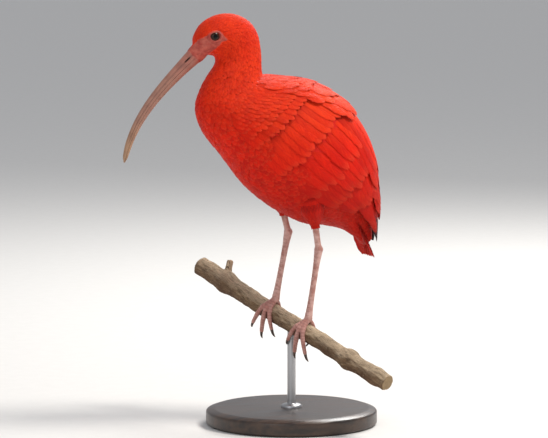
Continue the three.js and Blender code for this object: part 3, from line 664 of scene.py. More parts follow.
# ---- Shader sums
class Signal:
    """A shader socket that can be written into sums and products."""

    def __init__(self, finish, socket):
        self.finish, self.socket = finish, socket

    def _sum(self, operation, *values):
        return self.finish.node("ShaderNodeMath", {"operation": operation}, dict(enumerate(values)))

    def __add__(self, other):
        return self._sum("ADD", self, other)

    def __sub__(self, other):
        return self._sum("SUBTRACT", self, other)

    def __rsub__(self, other):
        return self._sum("SUBTRACT", other, self)

    def __mul__(self, other):
        return self._sum("MULTIPLY", self, other)

    def __abs__(self):
        return self._sum("ABSOLUTE", self)

    __radd__ = __add__
    __rmul__ = __mul__

    def waves(self):
        """From 0 to 1 and back, once for each whole number."""
        return self._sum("SINE", self * 6.283) * 0.5 + 0.5

    def between(self, low, high):
        """0 below low, 1 above high, smooth between."""
        inputs = {"Value": self, "From Min": low, "From Max": high}
        return self.finish.node("ShaderNodeMapRange", {"interpolation_type": "SMOOTHSTEP"}, inputs)


class Finish:
    """A material under construction."""

    def __init__(self, name, **constants):
        self.material = bpy.data.materials.new(name)
        self.material.use_nodes = True
        self.tree = self.material.node_tree
        self.shader = self.tree.nodes["Principled BSDF"]
        for socket, value in constants.items():
            self.shader.inputs[socket.replace("_", " ")].default_value = value

    def node(self, kind, settings, inputs, output=0):
        made = self.tree.nodes.new(kind)
        for key, value in settings.items():
            setattr(made, key, value)
        for key, value in inputs.items():
            self._put(made.inputs[key], value)
        return Signal(self, made.outputs[output])

    def _put(self, socket, value):
        if isinstance(value, Signal):
            self.tree.links.new(value.socket, socket)
        elif hasattr(value, "__len__") and socket.type == "RGBA" and len(value) == 3:
            socket.default_value = (*value, 1)
        else:
            socket.default_value = value

    def place(self):
        return self.node("ShaderNodeTexCoord", {}, {}, "Object")

    def axis(self, vector, name):
        return self.node("ShaderNodeSeparateXYZ", {}, {0: vector}, name)

    def mark(self, name):
        return self.node("ShaderNodeAttribute", {"attribute_name": name}, {}, "Fac")

    def noise(self, vector, scale, detail=4.0, roughness=0.55):
        inputs = {"Vector": vector, "Scale": scale, "Detail": detail, "Roughness": roughness}
        return self.node("ShaderNodeTexNoise", {}, inputs, "Fac")

    def cells(self, vector, scale):
        """Distance from the edges of a pattern of cells."""
        inputs = {"Vector": vector, "Scale": scale}
        return self.node("ShaderNodeTexVoronoi", {"feature": "DISTANCE_TO_EDGE"}, inputs)

    def vector(self, x, y, z):
        return self.node("ShaderNodeCombineXYZ", {}, {0: x, 1: y, 2: z})

    def stretched(self, vector, scale):
        return self.node("ShaderNodeVectorMath", {"operation": "MULTIPLY"}, {0: vector, 1: scale})

    def blend(self, share, a, b):
        """One colour turned into another by a share."""
        settings = {"data_type": "RGBA", "blend_type": "MIX", "clamp_factor": True}
        return self.node("ShaderNodeMix", settings, {0: share, 6: a, 7: b}, 2)

    def bump(self, height, distance, strength):
        inputs = {"Height": height, "Distance": distance, "Strength": strength}
        self.feed("Normal", self.node("ShaderNodeBump", {}, inputs))

    def feed(self, socket, value):
        self._put(self.shader.inputs[socket], value)


PUPIL = (0.002, 0.002, 0.002)
IRIS_RIM = (0.004, 0.003, 0.003)
WOOD_PORES = (0.008, 0.005, 0.003)
STEEL_DARK, STEEL_LIGHT = (0.34, 0.34, 0.35), (0.52, 0.52, 0.53)


def feather_finish(settings):
    """Scarlet vanes with fine barbs, paler at the fringe, each a shade of its own, some with a dark tip, with a
    painted highlight on the back and painted shade on the belly, at the roots and along the vane edges.
    """
    f = Finish("scarlet_feather", Roughness=0.6, Specular_IOR_Level=0.2, Specular_Tint=(1.0, 0.6, 0.5, 1.0),
               Sheen_Weight=0.08, Sheen_Roughness=0.4, Sheen_Tint=(1.0, 0.3, 0.2, 1.0))
    vane = f.node("ShaderNodeUVMap", {"uv_map": "Vane"}, {})
    across, down = f.axis(vane, "X"), f.axis(vane, "Y")
    tone, ink = f.mark("tone"), f.mark("ink")
    place = f.place()
    side = abs(across - 0.5)
    barbing = down * 60.0 - side * 34.0
    barbs = barbing.waves()
    clumps = f.noise(f.vector(barbing * 0.3, tone * 40.0, across * 2.2), 1.0, 3.0)
    broad = f.noise(place, 16.0, 3.0)
    patches = f.noise(place, 55.0, 3.0)
    shades = (tone * 0.4 + patches * 0.7 - 0.05).between(0.1, 0.85)
    base = f.blend(shades, settings.plumage_deep, settings.plumage_bright)
    height = f.axis(place, "Z")
    backward = f.axis(place, "X")
    # painted highlight: the upper back turns warm orange towards the top and rear, where the light falls
    above = (height * 0.75 + backward * 0.55).between(0.23, 0.34)
    neck = (height - 0.45 * abs(backward + 0.02)).between(0.26, 0.33)
    # the painted back highlight, with a warmer top of the neck and head, broken up by noise
    warm_neck_and_back_highlight = (above * 0.75 + neck * 0.45) * broad.between(0.25, 0.65) * (0.55 + 0.45 * tone)
    base = f.blend(warm_neck_and_back_highlight, base, settings.plumage_orange)
    base = f.blend(down.between(0.8, 1.0) * 0.3, base, settings.plumage_pale)
    base = f.blend(clumps.between(0.5, 0.66) * 0.34, base, settings.plumage_deep)
    base = f.blend((1 - clumps.between(0.32, 0.46)) * 0.22, base, settings.plumage_orange)
    shaft = (1 - side.between(0.0, 0.035)) * down.between(0.1, 0.5)
    base = f.blend(shaft * 0.4, base, settings.plumage_shaft)
    # painted shade: each vane darkens towards its root, under the feathers that overlap it
    base = f.blend((1 - down.between(0.0, 0.4)) * 0.55, base, settings.plumage_shade_and_barbs)
    # painted shade: a dark line along each vane's edges, where it overlaps its neighbours
    base = f.blend(side.between(0.36, 0.5) * 0.4, base, settings.plumage_deep)
    # painted shade: the plumage darkens towards the bottom of the bird, on the belly away from the light
    base = f.blend((1 - height.between(0.21, 0.3)) * 0.42, base, settings.plumage_shade_and_barbs)
    base = f.blend(barbs * 0.16, base, settings.plumage_shade_and_barbs)
    base = f.blend(ink, base, settings.plumage_ink)
    f.feed("Base Color", base)
    f.feed("Roughness", 0.5 + 0.2 * patches - 0.12 * ink)
    f.bump(barbs * 0.5 + f.noise(place, 900.0, 2.0) * 0.4 + clumps * 0.9, 0.00025, 0.55)
    return f.material


def skin_finish(settings):
    """Naked pinkish red face with fine lines, pores and painted shade in its creases, and red down where
    feathers root.
    """
    f = Finish("face_and_down", Roughness=0.5, Specular_IOR_Level=0.4, Subsurface_Weight=0.08,
               Subsurface_Scale=0.004, Subsurface_Radius=(1.0, 0.35, 0.2))
    place = f.place()
    bare = f.mark("bare")
    rim = f.mark("rim")
    mottle = f.noise(place, 130.0, 4.0)
    pores = f.noise(place, 1500.0, 2.0)
    cells = f.cells(place, 950.0)
    veins = f.noise(place, 420.0, 5.0, 0.7)
    face = f.blend(mottle.between(0.3, 0.7), settings.face_deep, settings.face_pale)
    face = f.blend(veins.between(0.52, 0.7) * 0.45, face, settings.face_deep)
    face = f.blend((1 - cells.between(0.0, 0.1)) * 0.14, face, settings.face_lines_and_crease_shade)
    # painted shade in the gape, the folds under the eye and round the lids
    face = f.blend(rim * 0.8, face, settings.face_lines_and_crease_shade)
    down = f.blend(mottle, settings.plumage_deep, settings.plumage_bright)
    on_head = 1 - f.axis(place, "X").between(-0.06, -0.03)
    down = f.blend(on_head * 0.45, down, settings.plumage_orange)
    f.feed("Base Color", f.blend(bare, down, face))
    f.feed("Roughness", 0.85 - 0.38 * bare + 0.1 * pores)
    f.bump(cells.between(0.0, 0.2) * 0.35 + pores * 0.5 + veins * 0.8 + mottle * 0.4, 0.0005, 0.7)
    return f.material


def bill_finish(settings):
    """Horn, reddish at the face and tan at the tip, with fine lengthwise lines, a painted highlight along the
    ridge and painted shade in the grooves and nostrils.
    """
    f = Finish("bill_horn", Roughness=0.4, Specular_IOR_Level=0.45, Coat_Weight=0.12, Coat_Roughness=0.3)
    along, hollow_shade = f.mark("along"), f.mark("hollow_shade")
    ridge_highlight = f.mark("ridge_highlight")
    place = f.place()
    mottle = f.noise(place, 90.0, 5.0)
    flecks = f.noise(place, 420.0, 3.0)
    lines = f.noise(f.vector(along * 3.0, f.mark("round") * 9.0, 0.0), 5.0, 3.0)
    horn = f.blend(along.between(0.0, 0.35), settings.bill_root, settings.bill_middle)
    horn = f.blend(along.between(0.55, 1.0), horn, settings.bill_tip_and_highlight)
    horn = f.blend(mottle.between(0.42, 0.75) * 0.45, horn, settings.bill_dark)
    horn = f.blend(flecks.between(0.55, 0.75) * 0.3, horn, settings.bill_tip_and_highlight)
    horn = f.blend(lines.between(0.5, 0.72) * 0.3, horn, settings.bill_dark)
    # painted highlight along the top of the upper bill
    horn = f.blend(ridge_highlight * 0.25, horn, settings.bill_tip_and_highlight)
    fleshy = f.blend(mottle.between(0.3, 0.7), settings.face_deep, settings.face_pale)
    root = 1 - (along + flecks * 0.05 + mottle * 0.06).between(0.06, 0.13)
    horn = f.blend(root * 0.85, horn, fleshy)
    # painted shade: the nostrils near black and the grooves darker, where they sink
    horn = f.blend(hollow_shade, horn, settings.bill_hollow_shade)
    f.feed("Base Color", horn)
    f.feed("Roughness", 0.34 + 0.22 * mottle + 0.2 * hollow_shade)
    f.bump(lines * 0.7 + flecks * 0.4, 0.0003, 0.45)
    return f.material


def eye_finish(settings):
    """A wet dark eye: black pupil, deep brown iris with fine streaks."""
    f = Finish("wet_eye", Roughness=0.05, Specular_IOR_Level=0.2)
    out = f.mark("out")
    streaks = f.noise(f.place(), 900.0, 3.0)
    iris = f.blend(streaks.between(0.35, 0.7), settings.iris_deep, settings.iris_light)
    iris = f.blend(out.between(0.72, 0.86), iris, IRIS_RIM)
    f.feed("Base Color", f.blend(1 - out.between(0.4, 0.45), iris, PUPIL))
    return f.material


def leg_finish(settings):
    """Pinkish scaly skin with painted shade in the creases between its scutes, and greyer on the toes."""
    f = Finish("leg_scales", Roughness=0.5, Specular_IOR_Level=0.4, Subsurface_Weight=0.05,
               Subsurface_Scale=0.003, Subsurface_Radius=(1.0, 0.4, 0.3))
    place = f.place()
    crease, toes = f.mark("crease"), f.mark("toes")
    mottle = f.noise(place, 160.0, 4.0)
    cells = f.cells(place, 640.0)
    skin = f.blend(mottle.between(0.3, 0.7), settings.leg_deep, settings.leg_pale)
    skin = f.blend(toes * 0.55, skin, settings.toe_tint)
    # scale lines, and painted shade in the creases between scutes
    skin = f.blend((1 - cells.between(0.0, 0.1)) * 0.18 + crease * 0.55, skin, settings.leg_lines_and_crease_shade)
    f.feed("Base Color", skin)
    f.feed("Roughness", 0.42 + 0.25 * mottle)
    f.bump(cells.between(0.0, 0.14) - crease * 0.5 + mottle * 0.3, 0.0004, 0.7)
    return f.material


def claw_finish(settings):
    f = Finish("claw_horn", Roughness=0.35, Specular_IOR_Level=0.5)
    streaks = f.noise(f.stretched(f.place(), (1.0, 1.0, 0.3)), 700.0, 3.0)
    f.feed("Base Color", f.blend(streaks.between(0.35, 0.75), settings.claw_dark, settings.claw_light))
    f.feed("Roughness", 0.3 + 0.2 * streaks)
    f.bump(streaks, 0.0002, 0.4)
    return f.material


def bark_finish(settings):
    """Bark, paler on top as painted light and red brown beneath as painted shade, cracked along the branch, and
    wood with rings at its cuts.
    """
    f = Finish("bark", Roughness=0.85, Specular_IOR_Level=0.25)
    place = f.place()
    strips = f.vector(f.mark("along") * 0.012, f.mark("round") * 1.6, 0.0)
    cracks = f.noise(strips, 9.0, 6.0, 0.65)
    plates = f.cells(strips, 3.2)
    blotches = f.noise(place, 32.0, 5.0)
    specks = f.noise(place, 420.0, 4.0)
    upward = f.axis(f.node("ShaderNodeNewGeometry", {}, {}, "Normal"), "Z")
    browns = (blotches * 0.6 + cracks * 0.5).between(0.35, 0.75)
    bark = f.blend(browns, settings.bark_brown, settings.bark_tan)
    # painted light: the bark turns paler where it faces up
    bark = f.blend(upward.between(0.0, 0.8) * (0.4 + 0.6 * blotches), bark, settings.bark_pale)
    # painted shade: the bark turns dark red brown where it faces down
    bark = f.blend((1 - upward.between(-0.8, 0.1)) * 0.6, bark, settings.bark_shade)
    seams = (1 - (plates + cracks * 0.3 - 0.12).between(0.0, 0.09)) * 0.8
    bark = f.blend((1 - cracks.between(0.36, 0.47)) * 0.7 + seams, bark, settings.bark_crack)
    bark = f.blend(specks.between(0.6, 0.72) * 0.4, bark, settings.bark_pale)
    wood = f.blend((f.mark("ring") * 2.4).waves(), settings.wood_light, settings.wood_dark)
    wood = f.blend(specks.between(0.55, 0.7) * 0.4, wood, settings.wood_dark)
    f.feed("Base Color", f.blend(f.mark("cut"), bark, wood))
    f.feed("Roughness", 0.75 + 0.2 * blotches)
    f.bump(cracks * 1.2 - seams + specks * 0.35 + blotches * 0.4, 0.0015, 0.8)
    return f.material


def base_finish(settings):
    """Dark stained wood with a long grain under a satin varnish."""
    f = Finish("stained_wood", Roughness=0.35, Specular_IOR_Level=0.5, Coat_Weight=0.25, Coat_Roughness=0.25)
    grain_lines = f.noise(f.stretched(f.place(), (1.0, 9.0, 9.0)), 14.0, 6.0, 0.62)
    pores = f.noise(f.stretched(f.place(), (1.0, 14.0, 14.0)), 120.0, 2.0)
    wood = f.blend(grain_lines.between(0.35, 0.68), settings.stand_dark, settings.stand_light)
    f.feed("Base Color", f.blend(pores.between(0.6, 0.7) * 0.6, wood, WOOD_PORES))
    f.feed("Roughness", 0.28 + 0.22 * grain_lines)
    f.bump(grain_lines * 0.5 - pores.between(0.6, 0.7), 0.0002, 0.5)
    return f.material


def rod_finish():
    """Brushed steel, with its lines along the rod."""
    f = Finish("satin_steel", Metallic=1.0, Roughness=0.35)
    brushed = f.noise(f.stretched(f.place(), (1.0, 1.0, 0.05)), 1400.0, 2.0)
    f.feed("Base Color", f.blend(brushed, STEEL_DARK, STEEL_LIGHT))
    f.feed("Roughness", 0.3 + 0.15 * brushed)
    return f.material


def floor_finish(settings):
    f = Finish("studio_floor", Roughness=0.9, Specular_IOR_Level=0.2)
    dust = f.noise(f.place(), 60.0, 4.0)
    f.feed("Base Color", f.blend(dust.between(0.3, 0.7), settings.floor_colour, settings.floor_shade))
    f.feed("Roughness", 0.85 + 0.1 * dust)
    return f.material


# ---- What a user would change
def colour(name, default):
    description = f"Colour of the {name.lower()}"
    return FloatVectorProperty(
        name=name, description=description, default=default, subtype="COLOR", size=3, min=0, max=1
    )


class IbisSettings(bpy.types.PropertyGroup):
    spacing: FloatProperty(
        name="Feather spacing", description="Distance between the body's feathers in mm",
        default=4.6, min=3, max=12,
    )
    skin_depth: FloatProperty(
        name="Coat depth", description="Depth of the skin under the feathers' outline in mm",
        default=2.2, min=1, max=4,
    )
    voxel: FloatProperty(
        name="Skin detail", description="Size of the skin's faces in mm", default=1.2, min=0.8, max=3
    )
    camera_distance: FloatProperty(
        name="Camera distance", description="From the bird to the camera", default=3.4, unit="LENGTH"
    )
    camera_azimuth: FloatProperty(
        name="Camera azimuth", description="0 looks along +Y", default=math.radians(-20), subtype="ANGLE"
    )
    camera_elevation: FloatProperty(
        name="Camera elevation", description="Above the horizon", default=math.radians(6), subtype="ANGLE"
    )
    camera_view: FloatProperty(
        name="View width", description="Width of what the camera sees at the bird",
        default=0.585, unit="LENGTH",
    )
    seed: IntProperty(name="Seed", description="Start of every random draw", default=7, min=0)
    plumage_deep: colour("Deep plumage", (0.56, 0.005, 0.002))
    plumage_bright: colour("Bright plumage", (0.9, 0.016, 0.004))
    plumage_orange: colour("Warm plumage and painted back highlight", (0.95, 0.07, 0.008))
    plumage_pale: colour("Feather fringes", (0.95, 0.09, 0.035))
    plumage_shaft: colour("Feather shafts", (0.5, 0.012, 0.01))
    plumage_shade_and_barbs: colour("Painted feather shade and barb lines", (0.2, 0.002, 0.003))
    plumage_ink: colour("Wing tips", (0.008, 0.008, 0.014))
    face_deep: colour("Deep face skin", (0.4, 0.035, 0.025))
    face_pale: colour("Pale face skin", (0.62, 0.13, 0.085))
    face_lines_and_crease_shade: colour("Face lines and painted crease shade", (0.2, 0.025, 0.02))
    bill_root: colour("Bill's root", (0.42, 0.14, 0.1))
    bill_middle: colour("Bill's middle", (0.36, 0.17, 0.12))
    bill_tip_and_highlight: colour("Bill's tip and painted ridge highlight", (0.42, 0.24, 0.13))
    bill_dark: colour("Bill's stains", (0.15, 0.06, 0.045))
    bill_hollow_shade: colour("Painted shade of nostrils and grooves", (0.02, 0.008, 0.006))
    iris_deep: colour("Deep iris", (0.02, 0.007, 0.004))
    iris_light: colour("Light iris", (0.07, 0.022, 0.01))
    leg_deep: colour("Deep leg skin", (0.46, 0.2, 0.16))
    leg_pale: colour("Pale leg skin", (0.74, 0.46, 0.4))
    leg_lines_and_crease_shade: colour("Leg scale lines and painted crease shade", (0.26, 0.09, 0.07))
    toe_tint: colour("Toes", (0.5, 0.22, 0.18))
    claw_dark: colour("Dark claws", (0.03, 0.018, 0.015))
    claw_light: colour("Light claws", (0.16, 0.1, 0.08))
    bark_brown: colour("Brown bark", (0.13, 0.07, 0.04))
    bark_tan: colour("Tan bark", (0.38, 0.25, 0.14))
    bark_pale: colour("Pale bark and painted top light", (0.72, 0.56, 0.38))
    bark_shade: colour("Painted shade under the branch", (0.12, 0.045, 0.025))
    bark_crack: colour("Bark's cracks", (0.045, 0.025, 0.016))
    wood_light: colour("Cut wood", (0.58, 0.42, 0.25))
    wood_dark: colour("Cut wood's rings", (0.36, 0.23, 0.12))
    stand_dark: colour("Stand's dark grain", (0.018, 0.009, 0.005))
    stand_light: colour("Stand's light grain", (0.06, 0.03, 0.016))
    floor_colour: colour("Floor", (0.785, 0.775, 0.755))
    floor_shade: colour("Shade of the floor", (0.77, 0.76, 0.74))


# added to the seed, so that each group of feathers has draws of its own
SEED_STEPS = {"thighs": 9, "wings": 10, "tail": 30}


class IbisOperator:
    bl_options = {"REGISTER", "UNDO"}

    def execute(self, context):
        self.build(context.scene.ibis)
        return {"FINISHED"}


class IBIS_OT_stage(IbisOperator, bpy.types.Operator):
    """Floor, studio light and camera"""

    bl_idname = "ibis.stage"
    bl_label = "Stage"

    FLOOR_HALF = 30.0
    SKY, SKY_STRENGTH = (0.93, 0.95, 1.0, 1), 0.5
    TARGET = Vector((-0.02, 0, 0.222))
    # name, place, size, power and tint
    LAMPS = (
        ("key", (1.15, -0.75, 2.2), 0.8, 44, (1.0, 0.96, 0.9)),
        ("fill", (-1.6, -1.6, 0.9), 1.6, 8, (0.95, 0.97, 1.0)),
        ("rim", (1.1, 1.2, 1.5), 0.8, 24, (1.0, 0.98, 0.95)),
    )

    def build(self, settings):
        scene = bpy.context.scene
        mesh = bpy.data.meshes.new("floor")
        half = self.FLOOR_HALF
        corners = [(-half, -half, 0), (half, -half, 0), (half, half, 0), (-half, half, 0)]
        mesh.from_pydata(corners, [], [(0, 1, 2, 3)])
        floor = bpy.data.objects.new("floor", mesh)
        scene.collection.objects.link(floor)
        mesh.materials.append(floor_finish(settings))
        world = scene.world or bpy.data.worlds.new("studio")
        scene.world = world
        world.use_nodes = True
        sky = world.node_tree.nodes["Background"].inputs
        sky["Color"].default_value, sky["Strength"].default_value = self.SKY, self.SKY_STRENGTH
        for lamp in self.LAMPS:
            self.lamp(*lamp)
        azimuth, elevation = settings.camera_azimuth, settings.camera_elevation
        level = math.cos(elevation)
        back = Vector((math.sin(azimuth) * level, -math.cos(azimuth) * level, math.sin(elevation)))
        camera = bpy.data.objects.new("camera", bpy.data.cameras.new("camera"))
        scene.collection.objects.link(camera)
        camera.location = self.TARGET + back * settings.camera_distance
        camera.rotation_euler = (-back).to_track_quat("-Z", "Y").to_euler()
        camera.data.lens = camera.data.sensor_width * settings.camera_distance / settings.camera_view
        scene.camera = camera
        scene.view_settings.view_transform = "Standard"

    def lamp(self, name, place, size, power, tint):
        data = bpy.data.lights.new(name, "AREA")
        data.shape = "DISK"
        data.size, data.energy, data.color = size, power, tint
        lamp = bpy.data.objects.new(name, data)
        bpy.context.scene.collection.objects.link(lamp)
        lamp.location = place
        lamp.rotation_euler = (self.TARGET - lamp.location).to_track_quat("-Z", "Y").to_euler()


class IBIS_OT_skin(IbisOperator, bpy.types.Operator):
    """One skin for the head, neck, trunk and thighs, with the face's lids, creases and gape"""

    bl_idname = "ibis.skin"
    bl_label = "Skin"

    SLEEVE = {"shares": (-0.02, 0.0, 0.02, 0.035, 0.045, 0.052), "swell": (0.4, 0.55, 0.6, 0.45, 0.0, -1.5)}
    THIGH_FLESH = (12, 12.5, 10.3, 6.3, 3.2)
    EYE_REACH, LID_REACH, SOCKET_REACH = 13, 8.5, 12.5
    LID_RADIUS, LID_BAND = 4.8, 1.5
    # on the right of the face: the slit that runs back from the bill, three folds under the eye, and the lore
    GAPE = ((-107, 9, 289.5), (-91, 14.5, 296.5))
    FOLDS = (
        ((-104, 10.5, 291), (-92, 16, 299)),
        ((-100.5, 10.5, 293.5), (-90, 16, 300)),
        ((-97, 10.5, 296), (-88, 16, 301)),
    )
    LORE = ((-106, 9.5, 298), (-98, 15, 305))

    def build(self, settings):
        stations = np.linspace(0, trunk.last, 130)
        flesh = loft(trunk, stations, np.arange(-180, 180, 5), skin_level(stations, settings.skin_depth))
        bodies = [flesh, self.bill_sleeve()]
        bodies += [self.wing_bed(side) for side in (1, -1)]
        for leg in LEGS.values():
            knee, end = np.array(leg["knee"], float), np.array(leg["thigh_end"], float)
            bodies.append(limb([knee, mix(knee, end, 0.5), end], self.THIGH_FLESH))
        mesh = fused("skin", bodies, settings.voxel, 4)
        points = points_of(mesh)
        self.refine(mesh, self.near_eyes(points, self.EYE_REACH) | (bareness(points) > 0), 2)
        points = points_of(mesh)
        on_lid = np.abs(from_eye(points) - self.LID_RADIUS) < self.LID_BAND
        self.refine(mesh, self.near_eyes(points, self.LID_REACH) & on_lid, 2)
        points, normals = points_of(mesh), normals_of(mesh)
        bare = bareness(points)
        shift, rim = self.creases(points)
        shift += bare * (0.14 * grain(points, 2.2) + 0.1 * grain(points, 0.9, 2))
        points += normals * shift[:, None]
        lids = [self.open_lids(points, side) for side in (1, -1)]
        set_points(mesh, points)
        mark(mesh, "bare", bare)
        # painted shade of the gape, folds and lids, where the skin sinks
        mark(mesh, "rim", np.clip(rim + np.maximum(*lids), 0, 1))
        replaced = ("head", "neck_upper", "neck_lower", "torso", "thigh_left", "thigh_right")
        add_piece("skin", mesh, "plumage", *replaced)
        mesh.materials.append(skin_finish(settings))

    def creases(self, points):
        """How far the skin sinks at each point, and how much painted shade it gets there, for the lines of both
        cheeks.
        """
        shift, rim = np.zeros(len(points)), np.zeros(len(points))
        for side in (1, -1):
            gape, t = to_segment(points, *(np.array(self.GAPE) * [1, side, 1]))
            shift -= 0.8 * bell(gape, 0, mix(0.9, 0.5, t)) * (1 - 0.5 * t)
            rim += 0.7 * bell(gape, 0, 0.7)
            for fold in self.FOLDS:
                crease, _ = to_segment(points, *(np.array(fold) * [1, side, 1]))
                shift -= 0.22 * bell(crease, 0, 0.55)
                rim += 0.2 * bell(crease, 0, 0.5)
            lore, _ = to_segment(points, *(np.array(self.LORE) * [1, side, 1]))
            shift -= 0.7 * bell(lore, 0, 2.6)
        return shift, rim

    def bill_sleeve(self):
        """Face skin that runs out over the bill's root."""
        share, swell = np.array(self.SLEEVE["shares"]), np.array(self.SLEEVE["swell"])
        centre, _, up = bill_frame(share)
        deep, wide = (half + swell for half in bill_halves(share))
        angle = np.arange(0, 2 * math.pi, 0.15)
        rings = centre[:, None] + (deep[:, None] * np.cos(angle))[..., None] * up[:, None]
        rings[..., 1] += wide[:, None] * np.sin(angle)
        return capped(rings)

    def near_eyes(self, points, reach):
        return np.linalg.norm(one_sided(points) - EYE_PLACE, axis=1) < reach

    def refine(self, mesh, chosen, cuts):
        """Splits the faces whose corners are chosen into finer ones."""
        edit = bmesh.new()
        edit.from_mesh(mesh)
        edges = [e for e in edit.edges if chosen[e.verts[0].index] and chosen[e.verts[1].index]]
        bmesh.ops.subdivide_edges(edit, edges=edges, cuts=cuts, use_grid_fill=True)
        edit.to_mesh(mesh)
        edit.free()

    def open_lids(self, points, side):
        """Opens one eye in the skin: a rim against the eyeball, a lid round it and creases outside that."""
        here = self.near_eyes(points, self.SOCKET_REACH) & (side * points[:, 1] > 7)
        x, z = points[here, 0] - EYE_PLACE[0], points[here, 2] - EYE_PLACE[2]
        level = side * points[here, 1]
        opening = np.hypot(x / 4.9, z / 4.25)  # 1 at the edge of the lids
        eyeball = EYE_PLACE[1] + np.sqrt(np.maximum(EYE_RADIUS**2 - x * x - z * z, 0))
        edge, crest = eyeball + 0.14, level + 0.6
        socket = mix(EYE_PLACE[1] - 2, edge, ramp(opening, 0.84, 1.0))
        lid = mix(edge, crest, np.sin(np.clip((opening - 1) / 0.3, 0, 1) * math.pi / 2))
        crease = 0.38 * bell(opening, 1.66, 0.1) + 0.16 * bell(opening, 1.95, 0.08)
        around = level + 0.6 * (1 - ramp(opening, 1.3, 1.9)) - crease
        points[here, 1] = side * np.where(opening < 1, socket, np.where(opening < 1.3, lid, around))
        dark = np.zeros(len(points))
        # painted shade at the lid's edge and in the crease round it
        dark[here] = bell(opening, 0.98, 0.09) + 0.4 * bell(opening, 1.66, 0.09)
        return dark

    def wing_bed(self, side):
        """The folded wing's own flesh, under its feathers."""
        rows, columns = 30, 8
        rounded = 1.5 * (np.abs(np.linspace(-1, 1, columns)) > 0.9)
        rings = []
        for s in np.linspace(0.8, 7.7, rows):
            angle = np.linspace(*wing_edges(s), columns)
            height = mix(-5.5, -2.9, ramp(s, 0.8, 1.6)) - rounded
            outer = folded.point(s, side * angle, height)
            inner = folded.point(s, side * angle[::-1], -11.5)
            rings.append(np.vstack([outer, inner]))
        return capped(np.array(rings))


class IBIS_OT_eyes(IbisOperator, bpy.types.Operator):
    """Two wet dark eyes"""

    bl_idname = "ibis.eyes"
    bl_label = "Eyes"

    def build(self, settings):
        finish = eye_finish(settings)
        for name, side in (("right", 1), ("left", -1)):
            eye = EYE_PLACE * [1, side, 1]
            polar = np.linspace(0.03, math.pi - 0.03, 28)
            line = eye + np.outer(np.cos(polar), [0, side * EYE_RADIUS, 0])
            points, triangles = oriented(*tube(line, np.sin(polar) * EYE_RADIUS, 40, start_across=(1, 0, 0)))
            mesh = mesh_from("eye_" + name, points, triangles)
            add_piece("ball_" + name, mesh, "eye", "eye_" + name)
            outer = side * (points[:, 1] - eye[1]) > 0
            mark(mesh, "out", np.where(outer, from_eye(points) / EYE_RADIUS, 1))
            mesh.materials.append(finish)


class IBIS_OT_bill(IbisOperator, bpy.types.Operator):
    """The long curved bill: two mandibles, the grooves and nostrils"""

    bl_idname = "ibis.bill"
    bl_label = "Bill"

    def build(self, settings):
        finish = bill_finish(settings)
        self.mandible(finish, "upper", 1)
        self.mandible(finish, "lower", -1)

    def mandible(self, finish, name, rise):
        """Half of the bill, flat along the mouth. Rise is 1 for the upper half and -1 for the lower."""
        rows, arc, floor = 210, 61, 9
        share = np.linspace(-0.035, 1.0, rows)
        centre, _, up = bill_frame(share)
        deep, wide = bill_halves(share)
        mouth = MOUTH_HEIGHT * deep + rise * 0.16
        limit = np.arccos(np.clip(mouth / deep, -1, 1))
        sweep = np.linspace(-1, 1, arc)[None, :]
        angle = sweep * limit[:, None] if rise > 0 else math.pi + sweep * (math.pi - limit)[:, None]
        round_ = np.abs(np.degrees(angle))
        tip = ramp(share, 0.94, 1.0)[:, None]
        shrink = np.sqrt(np.maximum(1 - tip * tip * 0.86, 0.05))
        t = share[:, None]
        if rise > 0:
            groove = bell(round_, 62, 8) * ramp(t, 0.0, 0.05) * (1 - ramp(t, 0.75, 0.92))
            nostril = np.exp(-(((t - 0.088) / 0.024) ** 4)) * np.exp(-(((round_ - 61) / 6) ** 4))
            dent = 0.65 * groove + 1.3 * nostril
            # share of painted shade, full in the nostril and faint in the groove
            hollow_shade = ramp(nostril, 0.25, 0.75) + 0.3 * groove
            # share of painted highlight along the top of the upper bill
            ridge_highlight = bell(round_, 0, 16)
        else:
            groove = bell(round_, 180, 9) * ramp(t, 0.02, 0.1) * (1 - ramp(t, 0.7, 0.9))
            dent, hollow_shade, ridge_highlight = 0.5 * groove, 0 * groove, 0 * groove
        high = (deep[:, None] * shrink - dent) * np.cos(angle)
        out = (wide[:, None] * shrink - dent) * np.sin(angle)
        flat_high = np.repeat(mouth[:, None] * shrink, floor, 1)
        flat_out = out[:, -1:] * np.linspace(1, -1, floor + 2)[None, 1:-1]
        points = centre[:, None, :] + np.concatenate([high, flat_high], 1)[..., None] * up[:, None, :]
        points[..., 1] += np.concatenate([out, flat_out], 1)
        mesh = mesh_from("mandible_" + name, *oriented(*capped(points)))
        add_piece("mandible_" + name, mesh, "bill", "bill_" + name, smooth_angle=50)

        def spread(grid, rest):
            full = np.concatenate([grid, np.full((rows, floor), rest)], 1)
            return np.concatenate([full.ravel(), [rest, rest]])

        mark(mesh, "along", np.concatenate([np.repeat(share, arc + floor), [0, 1]]))
        mark(mesh, "round", spread(round_ / 90, 1))
        mark(mesh, "hollow_shade", np.clip(spread(hollow_shade, 0), 0, 1))
        mark(mesh, "ridge_highlight", spread(ridge_highlight, 0))
        mesh.materials.append(finish)


